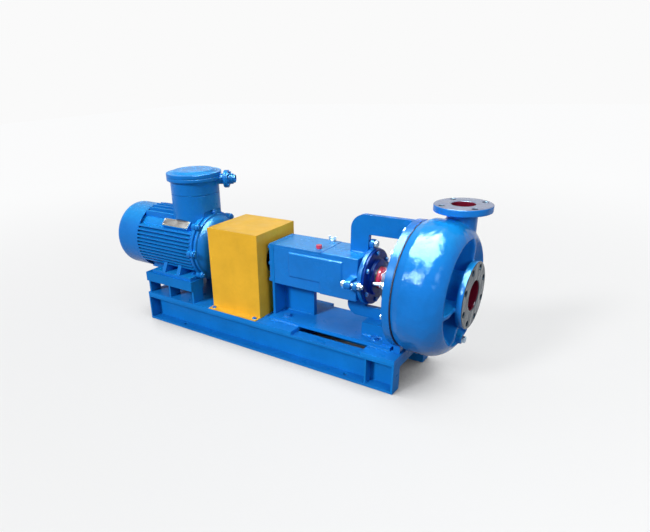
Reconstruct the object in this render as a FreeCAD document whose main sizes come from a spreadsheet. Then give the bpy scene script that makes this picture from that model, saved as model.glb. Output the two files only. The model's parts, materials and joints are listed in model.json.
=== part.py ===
import FreeCAD, Part
import os
import re

import Sketcher
from FreeCAD import Rotation, Vector

# A gland-packed centrifugal oil pump on a channel skid, driven through a coupling by a finned motor.
# Millimetres. The origin is the centre of the four anchor holes on the floor, X points to the suction
# flange along the shaft, Y across the skid and Z up.

SIZES = {
    # Skid
    "skid_left": 625, "skid_right": 622, "skid_width": 330, "rail_height": 120, "rail_flange": 53,
    "rail_flange_thick": 9, "rail_web": 6, "deck_thick": 15, "rear_deck_right": 190,
    "front_deck_left": 490, "end_cap_thick": 8, "stiffener_at": 505, "stiffener_thick": 8,
    "stiffener_depth": 40, "anchor_spacing_long": 840, "anchor_spacing_wide": 280,
    "anchor_hole_radius": 9, "cross_width": 50, "cross_height": 80, "cross_wall": 6,
    "cross_two_at": 290, "cross_three_at": 120, "front_bar_height": 30,
    # Motor stand
    "stand_left": 623, "stand_right": 335, "stand_width": 80, "stand_lip": 42, "stand_wall": 10,
    "stand_mid_rib": 492,
    # Pump pedestal
    "pedestal_left": 57, "pedestal_right": 578, "pedestal_half_width": 108, "pedestal_thick": 15,
    "plate_thick": 20, "end_plate_thick": 10, "web_right": 200, "pedestal_hole_radius": 9,
    "pedestal_bolt_radius": 8, "pedestal_bolt_head": 10, "pedestal_bolt_left": 112,
    "pedestal_bolt_right": 500, "pedestal_bolt_side": 75, "foot_left": 440, "foot_right": 575,
    "foot_half_width": 60,
    # Bearing box and its neighbours; rises and drops are measured from the shaft's line
    "shaft_height": 363, "box_right": 427, "box_half_width": 80, "box_rise": 83, "box_drop": 78,
    "box_cover_right": 272, "box_cover_thick": 8, "arch_width": 72, "arch_past_box": 3,
    "arch_beam": 70, "arch_corner": 55, "arm_left": 352, "arm_drop": 43, "arm_depth": 44,
    "arm_corner": 42, "pad_proud": 6, "pad_left": 132, "pad_right": 363, "pad_low_drop": 33,
    "pad_margin": 22,
    # Casing ring
    "ring_back": 590, "ring_thick": 25, "ring_radius": 225, "ring_bore": 120, "ring_foot_half": 105,
    "ring_foot_top": 20, "cheek_long": 50, "cheek_side": 76, "cheek_thick": 16, "cheek_height": 75,
    "casing_bolt_circle": 206, "casing_bolt_radius": 6.5, "casing_hole_radius": 7,
    "casing_bolt_depth": 28, "casing_bolt_head": 9, "casing_bolt_first": 15,
    # Cartridge and its adjusting gear
    "cartridge_radius": 70, "cartridge_left": 66, "cartridge_gap": 9, "cartridge_flange_thick": 16,
    "cartridge_flange_radius": 105, "shoulder_depth": 4, "front_cover_thick": 10,
    "front_cover_inset": 3, "front_cover_hub": 65, "front_cover_hub_length": 12, "ear_circle": 122,
    "ear_radius": 17, "adjust_stud_radius": 7, "stud_past_nut": 8, "lug_length": 27, "stud_tail": 14,
    "nut_height": 10, "jack_gap": 3, "cover_bolt_radius": 5, "cover_bolt_circle": 88,
    "cover_bolt_head": 6, "cover_bolt_first": 30, "rear_cover_thick": 10, "rear_cover_drop": 73,
    "rear_bolt_rise": 68, "rear_bolt_side": 70, "rear_bolt_head": 8, "rear_boss": 12,
    "rear_boss_wall": 10, "seal_height": 8, "seal_inset": 2,
    # Running, sliding and seating room
    "slide_gap": 0.05, "seat_gap": 0.3, "through": 2,
    # Bearings and shaft
    "shaft_radius": 25, "shaft_collar": 32, "bearing_radius": 55, "thrust_at": 84, "thrust_width": 44,
    "radial_setback": 43, "radial_width": 27, "race_thick": 9, "ball_radius": 7.5,
    "rear_collar_left": 20, "front_collar_right": 478, "deflector_radius": 40, "deflector_width": 14,
    "deflector_edge": 4, "sleeve_radius": 31, "sleeve_left": 500,
    # Stuffing box
    "plate_radius": 195, "plate_depth": 14, "stuffing_bore": 40, "stuffing_radius": 58,
    "stuffing_fillet": 14, "stuffing_left": 535, "throat_depth": 11, "packing_pitch": 9,
    "gland_gap": 3, "gland_bolt_side": 68, "gland_flange_radius": 86, "gland_half_height": 44,
    "gland_flange_thick": 12, "gland_stud_radius": 6, "gland_stud_length": 62,
    # Casing
    "gasket_thick": 2, "drum_rear_radius": 223, "drum_radius": 234, "drum_taper": 29,
    "drum_straight": 54, "drum_shoulder": 90, "drum_shift": 6, "drum_drop": 1, "chamber_radius": 188,
    "chamber_depth": 60, "eye_depth": 79, "eye_seat_depth": 16, "bore_step": 2,
    "suction_reach": 112, "suction_flange_radius": 114.3,
    "suction_flange_thick": 22, "suction_bore": 51, "suction_circle": 95.25, "suction_neck": 72,
    "suction_fillet": 8, "flange_hole_radius": 9.5, "discharge_offset": 19, "discharge_side": 86,
    "discharge_rise": 276, "discharge_flange_radius": 95.25, "discharge_flange_thick": 24,
    "discharge_bore": 38, "discharge_circle": 76.2, "discharge_neck": 50, "neck_start": 90,
    "throat_height": 95, "throat_inset": 8, "throat_top": 177, "pocket_start": 24, "pocket_radius": 192,
    "pocket_foot": 128, "rib_thick": 14, "drain_setback": 35, "drain_rise": 22,
    "drain_plug_radius": 9, "drain_boss_wall": 8, "drain_boss_length": 58, "drain_plug_depth": 28,
    "drain_plug_head": 10,
    # Impeller
    "back_gap": 4, "impeller_radius": 163, "impeller_plate": 9, "impeller_hub": 38,
    "impeller_length": 67, "hub_cone": 22, "shaft_step": 7, "shaft_tail": 16, "vane_gap": 3,
    "vane_root_angle": 16, "vane_sweep": -72, "vane_tip_angle": 6, "vane_curve": 104,
    "impeller_nut_length": 14, "impeller_nut_collar": 5,
    # Coupling
    "hub_radius": 62, "hub_length": 52, "coupling_at": -118, "coupling_gap": 24, "jaw_depth": 18,
    "jaw_inner": 32, "jaw_width": 38, "leg_width": 21.4, "spider_ring": 7, "spider_play": 1,
    # Guard
    "guard_left": 243, "guard_right": 13, "guard_half_width": 128, "guard_rise": 122,
    "guard_wall": 3, "guard_foot": 34, "guard_window": 70, "guard_bolt_inset": 18,
    "guard_bolt_radius": 4, "guard_bolt_head": 5,
    # Motor frame and its end shields
    "motor_left": 674, "motor_right": 344, "motor_core_radius": 132, "motor_fin_radius": 154,
    "motor_bore": 112, "fin_pitch": 16, "fin_thick": 5, "fin_overlap": 4, "end_ring_radius": 150,
    "end_ring_thick": 18, "bell_bolt_circle": 151, "bell_bolt_radius": 5, "bell_bolt_head": 6,
    "bell_ear": 14, "bell_flange": 142, "bell_flange_thick": 16, "bell_length": 70, "bell_hub": 52,
    "bell_dome": 90, "bell_boss": 14, "rear_bell_length": 34, "spigot_depth": 8,
    "motor_foot_drop": 128, "foot_thick": 14, "motor_foot_left": 590, "motor_foot_right": 348,
    "foot_bolt_side": 100, "foot_inner": 70, "foot_outer": 152, "foot_web": 20, "foot_web_rise": 68,
    "foot_web_top": 54, "foot_bolt_radius": 6, "foot_bolt_head": 9, "nameplate_long": 150,
    "nameplate_wide": 34, "nameplate_thick": 2, "nameplate_left": 520, "nameplate_border": 3,
    # Motor's inner pieces
    "motor_shaft_radius": 21, "rotor_radius": 70, "rotor_step": 6, "air_gap": 1, "core_length": 170,
    "core_at": 600, "winding_length": 32, "winding_outset": 8, "winding_inset": 12,
    "motor_bearing_radius": 45, "motor_bearing_width": 23, "bearing_wall": 9,
    # Fan and cowl
    "cowl_radius": 148, "cowl_left": 829, "cowl_round": 34, "cowl_wall": 3, "cowl_slot_pitch": 20,
    "cowl_slot": 10, "cowl_web": 8, "fan_radius": 118, "fan_hub": 34, "fan_hub_length": 34,
    "fan_room": 60, "fan_disc": 5, "fan_blade": 4, "fan_blade_depth": 26,
    # Terminal box
    "terminal_at": 416, "terminal_neck": 105, "terminal_wall": 12, "terminal_rise": 229,
    "terminal_depth": 71, "terminal_rim": 119, "terminal_flange": 14, "terminal_duct": 60,
    "lid_rim": 17, "lid_dome": 9, "lid_ledge": 16, "lid_slope": 18, "entry_rise": 54,
    "entry_radius": 22, "entry_bore": 13, "entry_length": 146, "entry_flange": 37,
    "entry_flange_thick": 12, "entry_angle": 28, "gland_plate": 7, "gland_body": 20,
    "gland_nose_wall": 4, "gland_nose": 10, "entry_bolt_radius": 5, "entry_bolt_inset": 5,
    "entry_bolt_head": 6, "entry_root": 80,
    # Small parts
    "dipstick_radius": 4, "dipstick_at": 240, "dipstick_side": 62, "dipstick_depth": 38,
    "dipstick_cap": 8, "grip_long": 30, "grip_thick": 5, "grip_high": 16, "grip_notch": 9,
    "filler_radius": 7, "filler_at": 241, "filler_side": 39, "filler_collar": 4, "filler_head": 10,
}

# Places that follow from the sizes
PLACES = {
    "deck_top": "rail_height + deck_thick",
    "pedestal_top": "deck_top + pedestal_thick",
    "box_top": "shaft_height + box_rise",
    "box_bottom": "shaft_height - box_drop",
    "pad_low": "shaft_height - pad_low_drop",
    "pad_top": "box_top - pad_margin",
    "arch_right": "box_right + arch_past_box",
    "arch_left": "arch_right - arch_width",
    "arch_top": "shaft_height + ring_radius",
    "arch_window": "arch_top - arch_beam",
    "arm_top": "box_bottom - arm_drop",
    "arm_bottom": "arm_top - arm_depth",
    "ring_front": "ring_back + ring_thick",
    "joint": "ring_front + gasket_thick",
    "chamber_back": "ring_front + plate_depth",
    "eye_at": "chamber_back + eye_depth",
    "drum_full_at": "joint + drum_taper",
    "drum_shoulder_at": "drum_full_at + drum_straight",
    "suction_face": "drum_shoulder_at + suction_reach",
    "suction_back": "suction_face - suction_flange_thick",
    "pocket_floor": "drum_shoulder_at + pocket_start",
    "discharge_at": "drum_shoulder_at + discharge_offset",
    "discharge_top": "shaft_height + discharge_rise",
    "drain_at": "drum_shoulder_at + drain_setback",
    "drain_height": "shaft_height - chamber_radius + drain_rise",
    "flange_at": "box_right + cartridge_gap",
    "flange_face": "flange_at + cartridge_flange_thick",
    "radial_at": "box_right - radial_setback",
    "deflector_at": "front_collar_right + seat_gap",
    "impeller_back": "chamber_back + back_gap",
    "impeller_nose": "impeller_back + impeller_length",
    "shaft_end": "impeller_nose + shaft_tail",
    "nose_radius": "shaft_radius - shaft_step",
    "pump_hub_face": "coupling_at + coupling_gap / 2",
    "motor_hub_face": "coupling_at - coupling_gap / 2",
    "spider_left": "coupling_at - jaw_depth / 2 + spider_play",
    "spider_width": "jaw_depth - 2 * spider_play",
    "guard_top": "shaft_height + guard_rise",
    "stand_top": "shaft_height - motor_foot_drop",
    "drive_face": "end_ring_thick - motor_right",
    "fan_at": "fan_room - cowl_left",
    "terminal_split": "shaft_height + terminal_rise",
    "terminal_lid_at": "terminal_split + terminal_depth",
    "entry_height": "terminal_split + entry_rise",
}

CASING_BOLTS = 12
COVER_BOLTS = 6
EAR_ANGLES = (0, 90, 180)
BELL_BOLTS = 8
SUCTION_BOLTS = 8
DISCHARGE_BOLTS = 4
ENTRY_BOLTS = 4
VANES = 5
BALLS = 9
PACKING_RINGS = 6
LANTERN_PLACE = 3
JAWS = 3
FAN_BLADES = 7
COWL_RINGS = 5
LEVEL_FINS = range(-5, 6)
UPRIGHT_FINS = range(-3, 4)
UPRIGHT_FIN_SPREAD = 1.5
HEAD_WIDTH = 1.8
RIB_ANGLES = (76, 188, 240, 292, 344)
NAMEPLATE_ANGLE = 135

FOOT_BOLTS = ("-560", "-376")
FOOT_WEBS = ("-526", "-436")

doc = FreeCAD.newDocument("oil_pump")
sheet = doc.addObject("Spreadsheet::Sheet", "Sizes")
pieces = {}
frame_bolts = []

WORD = re.compile(r"[a-z][a-z_]*")
TURN_TO_X = Rotation(Vector(0, 1, 0), 90)
TURN_TO_Y = Rotation(Vector(1, 0, 0), -90)
TURNS = {"X": TURN_TO_X, "Y": TURN_TO_Y, "Z": Rotation()}


def fill_sheet():
    for row, (name, number) in enumerate(SIZES.items(), start=1):
        sheet.set(f"A{row}", name)
        sheet.set(f"B{row}", str(number))
        sheet.setAlias(f"B{row}", name)
    doc.recompute()


def bound(text):
    """The expression with each place worked out and each size pointed at its cell."""
    return WORD.sub(swap_word, str(text))


def swap_word(word):
    name = word.group(0)
    if name in PLACES:
        return f"({bound(PLACES[name])})"
    return f"Sizes.{name}" if name in SIZES else name


def number(text):
    return float(sheet.evalExpression(bound(text)))


def place(item, base=("0", "0", "0"), rotation=None):
    """Put an object at a point whose coordinates are expressions."""
    if rotation:
        item.Placement.Rotation = rotation
    for axis, text in zip("xyz", base):
        item.setExpression(f"Placement.Base.{axis}", bound(text))
    return item


def keep(label, item):
    """Register a finished piece under the name of its file."""
    item.Label = label
    pieces[label] = item
    return item


def box(size, base):
    item = doc.addObject("Part::Box", "Box")
    for side, text in zip(("Length", "Width", "Height"), size):
        item.setExpression(side, bound(text))
    return place(item, base)


def rod(radius, length, base, axis="X"):
    item = doc.addObject("Part::Cylinder", "Rod")
    item.setExpression("Radius", bound(radius))
    item.setExpression("Height", bound(length))
    return place(item, base, TURNS[axis])


def hexagon(radius, length, base, axis="X"):
    item = doc.addObject("Part::Prism", "Hexagon")
    item.Polygon = 6
    item.setExpression("Circumradius", bound(radius))
    item.setExpression("Height", bound(length))
    return place(item, base, TURNS[axis])


def group(items):
    """Separate solids that share one node."""
    item = doc.addObject("Part::Compound", "Group")
    item.Links = items
    return item


def fuse(items):
    item = doc.addObject("Part::MultiFuse", "Fusion")
    item.Shapes = items
    return item


def common(first, second):
    item = doc.addObject("Part::Common", "Common")
    item.Base = first
    item.Tool = second
    return item


def cut(base, tools):
    item = doc.addObject("Part::Cut", "Cut")
    item.Base = base
    item.Tool = tools[0] if len(tools) == 1 else fuse(tools)
    return item


def sketch(body, role, outline, circles=()):
    """A closed outline with bound corners; a corner may add an arc radius and its side."""
    drawing = body.newObject("Sketcher::SketchObject", "Sketch")
    plane = next(part for part in body.Origin.OriginFeatures if part.Role == role)
    drawing.AttachmentSupport = [(plane, "")]
    drawing.MapMode = "FlatFace"
    corners = [Vector(number(corner[0]), number(corner[1]), 0) for corner in outline]
    count = len(outline)
    for index, corner in enumerate(outline):
        start = corners[index - 1]
        end = corners[index]
        drawing.addGeometry(edge_between(start, end, corner))
    for index in range(count):
        following = (index + 1) % count
        ends_here = 1 if is_right_arc(outline[index]) else 2
        starts_next = 2 if is_right_arc(outline[following]) else 1
        drawing.addConstraint(Sketcher.Constraint("Coincident", index, ends_here, following, starts_next))
    for index, corner in enumerate(outline):
        pin_point(drawing, index, 1 if is_right_arc(corner) else 2, corner, corners[index])
        if len(corner) > 2:
            bind(drawing, Sketcher.Constraint("Radius", index, number(corner[2])), corner[2])
    for x_text, y_text, radius in circles:
        centre = Vector(number(x_text), number(y_text), 0)
        index = drawing.addGeometry(Part.Circle(centre, Vector(0, 0, 1), number(radius)))
        pin_point(drawing, index, 3, (x_text, y_text), centre)
        bind(drawing, Sketcher.Constraint("Radius", index, number(radius)), radius)
    return drawing


def is_right_arc(corner):
    return len(corner) > 3 and corner[3] == "right"


def edge_between(start, end, corner):
    """A straight edge, or an arc of the corner's radius that bulges to its named side."""
    if len(corner) < 3:
        return Part.LineSegment(start, end)
    radius = number(corner[2])
    chord = end - start
    half = chord.Length / 2
    left = Vector(-chord.y, chord.x, 0).normalize()
    rise = radius - (max(radius * radius - half * half, 0)) ** 0.5
    bulge = left * (rise if corner[3] == "right" else -rise)
    return Part.Arc(start, start + chord / 2 + bulge, end)


def bind(drawing, constraint, text):
    index = drawing.addConstraint(constraint)
    drawing.setExpression(f"Constraints[{index}]", bound(text))


def pin_point(drawing, geometry, point, texts, at):
    for kind, text, distance, axis in (("DistanceX", texts[0], at.x, -2), ("DistanceY", texts[1], at.y, -1)):
        if abs(distance) < 1e-9:
            drawing.addConstraint(Sketcher.Constraint("PointOnObject", geometry, point, axis))
        else:
            bind(drawing, Sketcher.Constraint(kind, -1, 1, geometry, point, distance), text)


def turned(outline, base=("0", "0", "shaft_height")):
    """A body of revolution about a line along X; the outline is (along, radius) corners."""
    body = doc.addObject("PartDesign::Body", "Turned")
    profile = sketch(body, "XZ_Plane", outline)
    revolution = body.newObject("PartDesign::Revolution", "Revolution")
    revolution.Profile = profile
    revolution.ReferenceAxis = (profile, ["H_Axis"])
    revolution.Angle = 360
    return place(body, base)


def tube(outer, inner, start, end):
    """A plain ring or sleeve on the shaft line."""
    return turned([(start, inner), (end, inner), (end, outer), (start, outer)])


def plate(role, outline, length, base, circles=()):
    """An outline pushed out by a length: along +X, -Y or +Z for the YZ, XZ and XY planes."""
    body = doc.addObject("PartDesign::Body", "Plate")
    profile = sketch(body, role, outline, circles)
    pad = body.newObject("PartDesign::Pad", "Pad")
    pad.Profile = profile
    pad.setExpression("Length", bound(length))
    return place(body, base)


def rectangle(left, bottom, right, top):
    return [(left, bottom), (right, bottom), (right, top), (left, top)]


def across(radius, angle):
    """The (Y, Z) place of a point on a circle about the shaft, by its angle from +Y."""
    return f"{radius} * cos({angle})", f"shaft_height + {radius} * sin({angle})"


# Skid

def rail_outline(side):
    """A channel open to the outside; side is -1 for the near rail and 1 for the far one."""
    outer = f"{side} * skid_width / 2"
    web_out = f"{side} * (skid_width / 2 - rail_flange + rail_web)"
    web_in = f"{side} * (skid_width / 2 - rail_flange)"
    top = "rail_height - rail_flange_thick"
    return [(web_in, "0"), (outer, "0"), (outer, "rail_flange_thick"), (web_out, "rail_flange_thick"),
            (web_out, top), (outer, top), (outer, "rail_height"), (web_in, "rail_height")]


def rail(side):
    length = "skid_left + skid_right - 2 * end_cap_thick"
    channel = plate("YZ_Plane", rail_outline(side), length, ("end_cap_thick - skid_left", "0", "0"))
    holes = [rod("anchor_hole_radius", "rail_flange_thick + through",
                 (f"{end} * anchor_spacing_long / 2", f"{side} * anchor_spacing_wide / 2", "-1"), "Z")
             for end in (-1, 1)]
    return cut(channel, holes)


def low_side(side, width):
    """The lower Y of something that lies against the outer edge of the skid on one side."""
    return "-skid_width / 2" if side < 0 else f"skid_width / 2 - ({width})"


def end_cap(x, side):
    return box(("end_cap_thick", "rail_flange", "rail_height"), (x, low_side(side, "rail_flange"), "0"))


def stiffener(side):
    y = f"{side} * (skid_width / 2 - rail_flange + rail_web)"
    y = f"{y} - stiffener_depth" if side < 0 else y
    return box(("stiffener_thick", "stiffener_depth", "rail_height - 2 * rail_flange_thick"),
               ("stiffener_at", y, "rail_flange_thick"))


def cross_member(x):
    """A channel across the skid between the webs of its rails, open towards +X."""
    low = "rail_height - cross_height"
    outline = [("0", low), ("cross_width", low), ("cross_width", f"{low} + cross_wall"),
               ("cross_wall", f"{low} + cross_wall"), ("cross_wall", "rail_height - cross_wall"),
               ("cross_width", "rail_height - cross_wall"), ("cross_width", "rail_height"),
               ("0", "rail_height")]
    length = "skid_width - 2 * rail_flange"
    return plate("XZ_Plane", outline, length, (x, "skid_width / 2 - rail_flange", "0"))


def make_skid():
    keep("rail_near", rail(-1))
    keep("rail_far", rail(1))
    small_plates = [end_cap(x, side) for x in ("-skid_left", "skid_right - end_cap_thick") for side in (-1, 1)]
    small_plates += [stiffener(-1), stiffener(1)]
    channels = [cross_member(start) for start in ("-skid_left", "-cross_two_at", "cross_three_at")]
    front_bar = box(("cross_width", "skid_width - 2 * rail_flange", "front_bar_height"),
                    ("skid_right - cross_width", "rail_flange - skid_width / 2",
                     "rail_height - front_bar_height"))
    keep("skid_cross_members", group(channels + [front_bar] + small_plates))
    decks = [box((f"{right} - ({left})", "skid_width", "deck_thick"), (left, "-skid_width / 2", "rail_height"))
             for left, right in (("-skid_left", "rear_deck_right"), ("front_deck_left", "skid_right"))]
    keep("deck_plates", group(decks))


# Motor stand

def stand_beam(side):
    """An upturned channel along one side, which carries one row of the motor's feet."""
    inner = f"{side} * (skid_width / 2 - stand_width)"
    outer = f"{side} * skid_width / 2"
    inner_wall = f"{inner} + {side} * stand_wall"
    outer_wall = f"{outer} - {side} * stand_wall"
    low = "stand_top - stand_lip"
    roof = "stand_top - stand_wall"
    outline = [(outer, low), (outer, "stand_top"), (inner, "stand_top"), (inner, low),
               (inner_wall, low), (inner_wall, roof), (outer_wall, roof), (outer_wall, low)]
    beam = plate("YZ_Plane", outline, "stand_left - stand_right", ("-stand_left", "0", "0"))
    holes = [rod("pedestal_hole_radius", "stand_wall + through",
                 (x, f"{side} * foot_bolt_side", "stand_top - stand_wall - 1"), "Z") for x in FOOT_BOLTS]
    return cut(beam, holes)


def stand_rib(x, side):
    width = "stand_width - 2 * stand_wall"
    y = "stand_wall - skid_width / 2" if side < 0 else "skid_width / 2 - stand_width + stand_wall"
    return box(("stand_wall", width, "stand_top - stand_wall - deck_top"), (x, y, "deck_top"))


def make_stand():
    rib_places = ("-stand_left", "-stand_mid_rib", "-stand_right - stand_wall")
    ribs = [stand_rib(x, side) for x in rib_places for side in (-1, 1)]
    keep("motor_stand", group([stand_beam(-1), stand_beam(1)] + ribs))


# Pump pedestal, bearing box and the plates that tie them to the casing ring

def pedestal_bolt_places():
    return [(x, f"{side} * pedestal_bolt_side") for x in ("pedestal_bolt_left", "pedestal_bolt_right")
            for side in (-1, 1)]


def make_pedestal():
    base = plate("XY_Plane",
                 rectangle("pedestal_left - end_plate_thick", "-pedestal_half_width", "pedestal_right",
                           "pedestal_half_width"), "pedestal_thick", ("0", "0", "deck_top"),
                 [(x, y, "pedestal_hole_radius") for x, y in pedestal_bolt_places()])
    keep("pedestal_base", base)
    end_plate = plate("YZ_Plane",
                      rectangle("-box_half_width", "pedestal_top", "box_half_width", "box_top"),
                      "end_plate_thick", ("pedestal_left - end_plate_thick", "0", "0"),
                      [("0", "shaft_height", "cartridge_radius + slide_gap")])
    web = box(("web_right - pedestal_left", "plate_thick", "box_bottom - pedestal_top"),
              ("pedestal_left", "-plate_thick / 2", "pedestal_top"))
    front_foot = box(("foot_right - foot_left", "2 * foot_half_width", "arm_bottom - pedestal_top"),
                     ("foot_left", "-foot_half_width", "pedestal_top"))
    keep("pedestal_plates", group([end_plate, web, front_foot]))
    arch = [("arch_left", "box_top"), ("arch_right", "box_top"), ("arch_right", "arch_window"),
            ("ring_back", "arch_window"), ("ring_back", "arch_top"),
            ("arch_left + arch_corner", "arch_top"),
            ("arch_left", "arch_top - arch_corner", "arch_corner", "left")]
    arch_plate = plate("XZ_Plane", arch, "plate_thick", ("0", "plate_thick / 2", "0"))
    arm = [("ring_back", "arm_bottom"), ("ring_back", "arm_top"),
           ("box_right", "arm_top"), ("box_right", "box_bottom"), ("arm_left", "box_bottom"),
           ("arm_left", "arm_bottom + arm_corner"),
           ("arm_left + arm_corner", "arm_bottom", "arm_corner", "left")]
    lower_arm = plate("XZ_Plane", arm, "plate_thick", ("0", "plate_thick / 2", "0"))
    keep("arch_plate", arch_plate)
    keep("lower_arm", lower_arm)


def make_bearing_box():
    width = "2 * box_half_width"
    body = plate("YZ_Plane", rectangle("-box_half_width", "box_bottom", "box_half_width", "box_top"),
                 "box_right - pedestal_left", ("pedestal_left", "0", "0"),
                 [("0", "shaft_height", "cartridge_radius + slide_gap")])
    cover_bed = box(("box_cover_right - pedestal_left", width, "box_cover_thick"),
                    ("pedestal_left", "-box_half_width", "box_top - box_cover_thick"))
    upper_pad = box(("pad_right - pad_left", "pad_proud", "pad_top - pad_low"),
                    ("pad_left", "-box_half_width - pad_proud", "pad_low"))
    lower_pad = box(("box_right - box_cover_right", "pad_proud", "pad_low - box_bottom"),
                    ("box_cover_right", "-box_half_width - pad_proud", "box_bottom"))
    lugs = [rod("ear_radius", "lug_length", ("box_right - lug_length", f"{side} * ear_circle", "shaft_height"))
            for side in (-1, 1)]
    lugs += [box(("lug_length", "ear_circle - box_half_width", "2 * ear_radius"),
                 ("box_right - lug_length", "box_half_width" if side > 0 else "-ear_circle",
                  "shaft_height - ear_radius")) for side in (-1, 1)]
    stud_holes = [rod("adjust_stud_radius + seat_gap", "lug_length + through",
                      ("box_right - lug_length - 1", f"{side} * ear_circle", "shaft_height"))
                  for side in (-1, 1)]
    dipstick_hole = rod("dipstick_radius + seat_gap", "box_top - shaft_height",
                        ("dipstick_at", "dipstick_side", "shaft_height"), "Z")
    keep("bearing_box", cut(fuse([body, upper_pad, lower_pad] + lugs),
                            [cover_bed, dipstick_hole] + stud_holes))
    cover = box(("box_cover_right - pedestal_left", width, "box_cover_thick"),
                ("pedestal_left", "-box_half_width", "box_top - box_cover_thick"))
    holes = [rod("dipstick_radius + seat_gap", "box_cover_thick + through",
                 ("dipstick_at", "dipstick_side", "box_top - box_cover_thick - 1"), "Z"),
             rod("filler_radius", "box_cover_thick + through",
                 ("filler_at", "-filler_side", "box_top - box_cover_thick - 1"), "Z")]
    keep("box_top_cover", cut(cover, holes))
    make_filler_plug()
    make_dipstick()


def make_filler_plug():
    stem = rod("filler_radius - seat_gap / 3", "box_cover_thick + filler_collar",
               ("filler_at", "-filler_side", "box_top - box_cover_thick"), "Z")
    collar = rod("filler_radius + 2", "filler_collar", ("filler_at", "-filler_side", "box_top"), "Z")
    head = rod("filler_radius + 4", "filler_head",
               ("filler_at", "-filler_side", "box_top + filler_collar"), "Z")
    keep("oil_filler_plug", fuse([stem, collar, head]))


def make_dipstick():
    """A rod with a cap and a flat grip, whose top is notched for a finger."""
    seat = "box_top + seat_gap"
    rod_down = rod("dipstick_radius", "dipstick_depth + dipstick_cap / 2",
                   ("dipstick_at", "dipstick_side", "box_top - dipstick_depth"), "Z")
    cap = rod("dipstick_radius + 5", "dipstick_cap", ("dipstick_at", "dipstick_side", seat), "Z")
    grip_low = f"{seat} + dipstick_cap - 2"
    grip = box(("grip_long", "grip_thick", "grip_high"),
               ("dipstick_at - grip_long / 2", "dipstick_side - grip_thick / 2", grip_low))
    notch = rod("grip_notch", "grip_thick + through",
                ("dipstick_at", "dipstick_side - grip_thick / 2 - 1", f"{grip_low} + grip_high + 2"), "Y")
    keep("dipstick", fuse([rod_down, cap, cut(grip, [notch])]))


def make_ring():
    """The ring that carries the casing, on a foot with a cheek behind each side."""
    ring = tube("ring_radius", "ring_bore", "ring_back", "ring_front")
    foot = box(("ring_thick", "2 * ring_foot_half", "shaft_height - deck_top - ring_bore - ring_foot_top"),
               ("ring_back", "-ring_foot_half", "deck_top"))
    cheek_size = ("cheek_long + 1", "cheek_thick", "cheek_height")
    cheeks = [box(cheek_size, ("ring_back - cheek_long", y, "pedestal_top"))
              for y in ("-cheek_side - cheek_thick", "cheek_side")]
    keep("casing_ring",
         cut(fuse([ring, foot] + cheeks), casing_bolt_holes("ring_back - 1", "ring_thick + through")))


def casing_bolt_holes(start, length):
    return bolt_holes("casing_hole_radius", "casing_bolt_circle", CASING_BOLTS, "casing_bolt_first",
                      start, length)


def bolt_holes(radius, circle, count, first, start, length):
    return [rod(radius, length, (start,) + across(circle, f"{first} + {360 / count * index}"))
            for index in range(count)]


def bolts(radius, circle, count, first, head_at, head, shank_to):
    """Hexagon bolts along X whose heads end at head_at and whose shanks run on to shank_to."""
    items = []
    for index in range(count):
        y, z = across(circle, f"{first} + {360 / count * index}")
        cap = hexagon(f"{radius} * {HEAD_WIDTH}", head, (f"{head_at} - {head}", y, z))
        shank = rod(radius, f"{shank_to} - ({head_at})", (head_at, y, z))
        items.append(fuse([cap, shank]))
    return group(items)


# Bearing cartridge, its adjusting studs and the covers

def make_cartridge():
    bore = "bearing_radius + slide_gap"
    mouth = "shaft_collar + shoulder_depth"
    waist = "bearing_radius - shoulder_depth"
    thrust_right = "thrust_at + thrust_width"
    sleeve = turned([("cartridge_left", mouth), ("thrust_at", mouth),
                     ("thrust_at", bore), (thrust_right, bore),
                     (thrust_right, waist), ("radial_at", waist), ("radial_at", bore),
                     ("flange_face", bore), ("flange_face", "cartridge_flange_radius"),
                     ("flange_at", "cartridge_flange_radius"), ("flange_at", "cartridge_radius"),
                     ("cartridge_left", "cartridge_radius")])
    ears = []
    holes = []
    for angle in EAR_ANGLES:
        y, z = across("ear_circle", angle)
        ears.append(rod("ear_radius", "cartridge_flange_thick", ("flange_at", y, z)))
        holes.append(rod("adjust_stud_radius + seat_gap", "cartridge_flange_thick + through",
                         ("flange_at - 1", y, z)))
    keep("bearing_cartridge", cut(fuse([sleeve] + ears), holes))


def make_front_cover():
    cover_right = "flange_face + front_cover_thick"
    hub_right = f"{cover_right} + front_cover_hub_length"
    seal_bore = "shaft_collar + seal_height"
    edge = "cartridge_flange_radius - front_cover_inset"
    cover = turned([("flange_face", seal_bore), (hub_right, seal_bore), (hub_right, "front_cover_hub"),
                    (cover_right, "front_cover_hub"), (cover_right, edge), ("flange_face", edge)])
    keep("front_bearing_cover",
         cut(cover, bolt_holes("cover_bolt_radius + seat_gap", "cover_bolt_circle", COVER_BOLTS,
                               "cover_bolt_first", "flange_face - 1", "front_cover_thick + through")))
    keep("front_cover_bolts", cover_bolts(cover_right))
    keep("front_oil_seal", tube(f"{seal_bore} - slide_gap", "shaft_collar + slide_gap",
                                "flange_face + seal_inset", f"{hub_right} - seal_inset"))


def cover_bolts(seat):
    """Hexagon heads on the front cover, with shanks that fill their holes in the cover."""
    items = []
    for index in range(COVER_BOLTS):
        y, z = across("cover_bolt_circle", f"cover_bolt_first + {360 / COVER_BOLTS * index}")
        head = hexagon(f"cover_bolt_radius * {HEAD_WIDTH}", "cover_bolt_head", (seat, y, z))
        shank = rod("cover_bolt_radius", "front_cover_thick - seat_gap",
                    (f"{seat} - front_cover_thick + seat_gap", y, z))
        items.append(fuse([head, shank]))
    return group(items)


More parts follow.
